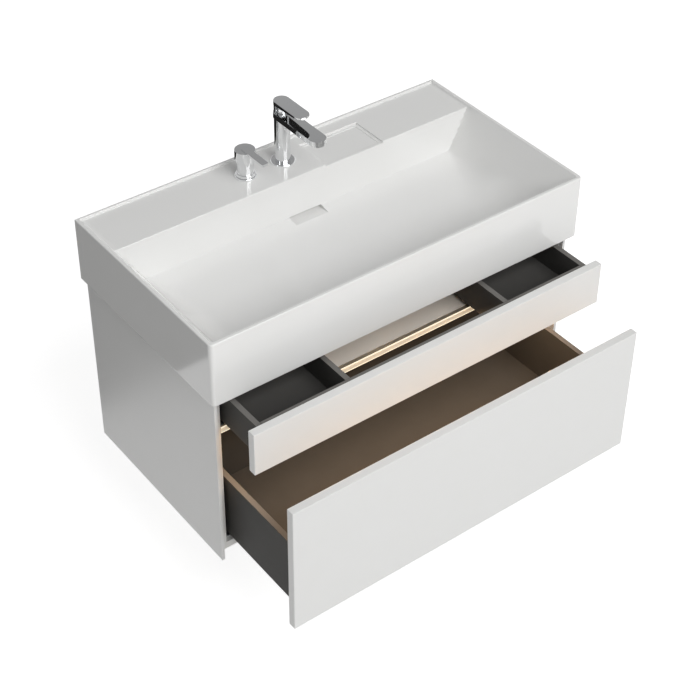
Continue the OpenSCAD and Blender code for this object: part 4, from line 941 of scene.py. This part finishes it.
# %% World
AMBIENT, OVERHEAD = 0.315, 0.24
LOW_SKY, HIGH_SKY = 0.2, 0.58
world = bpy.data.worlds.new("studio")
bpy.context.scene.world = world
world.use_nodes = True
tree = world.node_tree
ray = add(tree, "ShaderNodeLightPath")
shown = add(tree, "ShaderNodeMath", {"operation": "MAXIMUM"},
            {0: ray.outputs["Is Camera Ray"], 1: ray.outputs["Is Transmission Ray"]})
direction = add(tree, "ShaderNodeSeparateXYZ", {}, {0: add(tree, "ShaderNodeTexCoord").outputs["Generated"]})
ceiling = add(tree, "ShaderNodeMapRange",
              {"From Min": LOW_SKY, "From Max": HIGH_SKY, "To Min": 1.0, "To Max": OVERHEAD},
              {"Value": direction.outputs["Z"]})
mirrored = add(tree, "ShaderNodeMath", {"operation": "MULTIPLY"},
               {0: ray.outputs["Is Glossy Ray"], 1: ceiling.outputs[0]})
white = add(tree, "ShaderNodeMath", {"operation": "MAXIMUM"}, {0: shown.outputs[0], 1: mirrored.outputs[0]})
strength = add(tree, "ShaderNodeMath", {"operation": "MAXIMUM", 1: AMBIENT}, {0: white.outputs[0]})
tree.links.new(strength.outputs[0], tree.nodes["Background"].inputs["Strength"])
tree.nodes["Background"].inputs["Color"].default_value = (1, 1, 1, 1)
print("world:", len(tree.nodes), "nodes")

# %% Floor
RIM_ABOVE_GROUND, FLOOR_LIFT = 0.85, 0.74
GROUND_Z = RIM_Z / 1000 - RIM_ABOVE_GROUND


def plain_finish(name, colour, roughness):
    """A material for the studio's own things"""
    material = bpy.data.materials.new(name)
    material.use_nodes = True
    shader = material.node_tree.nodes["Principled BSDF"]
    shader.inputs["Base Color"].default_value = linear(colour)
    shader.inputs["Roughness"].default_value = roughness
    return material


bpy.ops.mesh.primitive_plane_add(size=30, location=(0, 0, GROUND_Z))
floor = bpy.context.object
floor.name = "floor"
floor_white = plain_finish("pale_floor", "#DADADA", 0.9)
tree = floor_white.node_tree
shader = tree.nodes["Principled BSDF"]
ray = add(tree, "ShaderNodeLightPath")
seen = add(tree, "ShaderNodeMath", {"operation": "MAXIMUM"},
           {0: ray.outputs["Is Camera Ray"], 1: ray.outputs["Is Glossy Ray"]})
lift = add(tree, "ShaderNodeMath", {"operation": "MULTIPLY", 1: FLOOR_LIFT}, {0: seen.outputs[0]})
shader.inputs["Emission Color"].default_value = (1, 1, 1, 1)
tree.links.new(lift.outputs[0], shader.inputs["Emission Strength"])
floor.data.materials.append(floor_white)
print("floor at", GROUND_Z)

# %% [markdown]
# ## A dark card for the chrome
# A mirror shows what stands round it. In an all-white studio chrome looks like grey paint, so a
# photographer stands a black card behind the object: the camera doesn't see it, but the left sides
# of the taps do. The card here is seen by glossy rays alone, and it throws no shadow.

# %% Dark card
CARD_SIZE, CARD_AT = (2.8, 0.82), (-0.3, 0.35, -0.34)
bpy.ops.mesh.primitive_plane_add(size=1, location=CARD_AT, rotation=(math.radians(90), 0, 0))
card = bpy.context.object
card.name = "dark_card"
card.scale = (*CARD_SIZE, 1)
card.data.materials.append(plain_finish("black_felt", "#0C0C0C", 1.0))
card.visible_camera = card.visible_diffuse = card.visible_shadow = card.visible_transmission = False
print("card:", CARD_SIZE)

# %% [markdown]
# ## Lamps
# One large lamp stands in front, a little to the right and high up. It makes the fronts the
# brightest faces, as in the photograph, and its size keeps the shadows soft. The other is the
# narrow warm lamp under the light's diffuser, which points down and forwards into the drawer.

# %% Lamps
def lamp(name, place, target, width, height, power, colour="#FFFFFF"):
    """A rectangular lamp that looks at a target"""
    light = bpy.data.lights.new(name, "AREA")
    light.shape, light.size, light.size_y = "RECTANGLE", width, height
    light.energy, light.color = power, linear(colour)[:3]
    piece = bpy.data.objects.new(name, light)
    bpy.context.scene.collection.objects.link(piece)
    towards = Vector(target) - Vector(place)
    piece.matrix_world = Matrix.Translation(place) @ towards.to_track_quat("-Z", "Y").to_matrix().to_4x4()


SOFTBOX_AT, LOOKS_AT = (0.4, -5.6, 4.9), (0, -0.35, -0.1)
CLEAR_OF_DIFFUSER, DOWN_AND_OUT = Vector((0, -0.004, -0.004)), Vector((0, -0.1, -0.1))
lamp("front_softbox", SOFTBOX_AT, LOOKS_AT, width=5.6, height=4.2, power=366)
diffuser_low, diffuser_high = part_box("led_diffuser")
glow_at = (diffuser_low + diffuser_high) / 2 + CLEAR_OF_DIFFUSER
lamp("shelf_glow", glow_at, glow_at + DOWN_AND_OUT, width=0.82, height=0.006, power=1.6, colour="#FFD4A8")

# %% View transform
bpy.context.scene.view_settings.view_transform = "Standard"
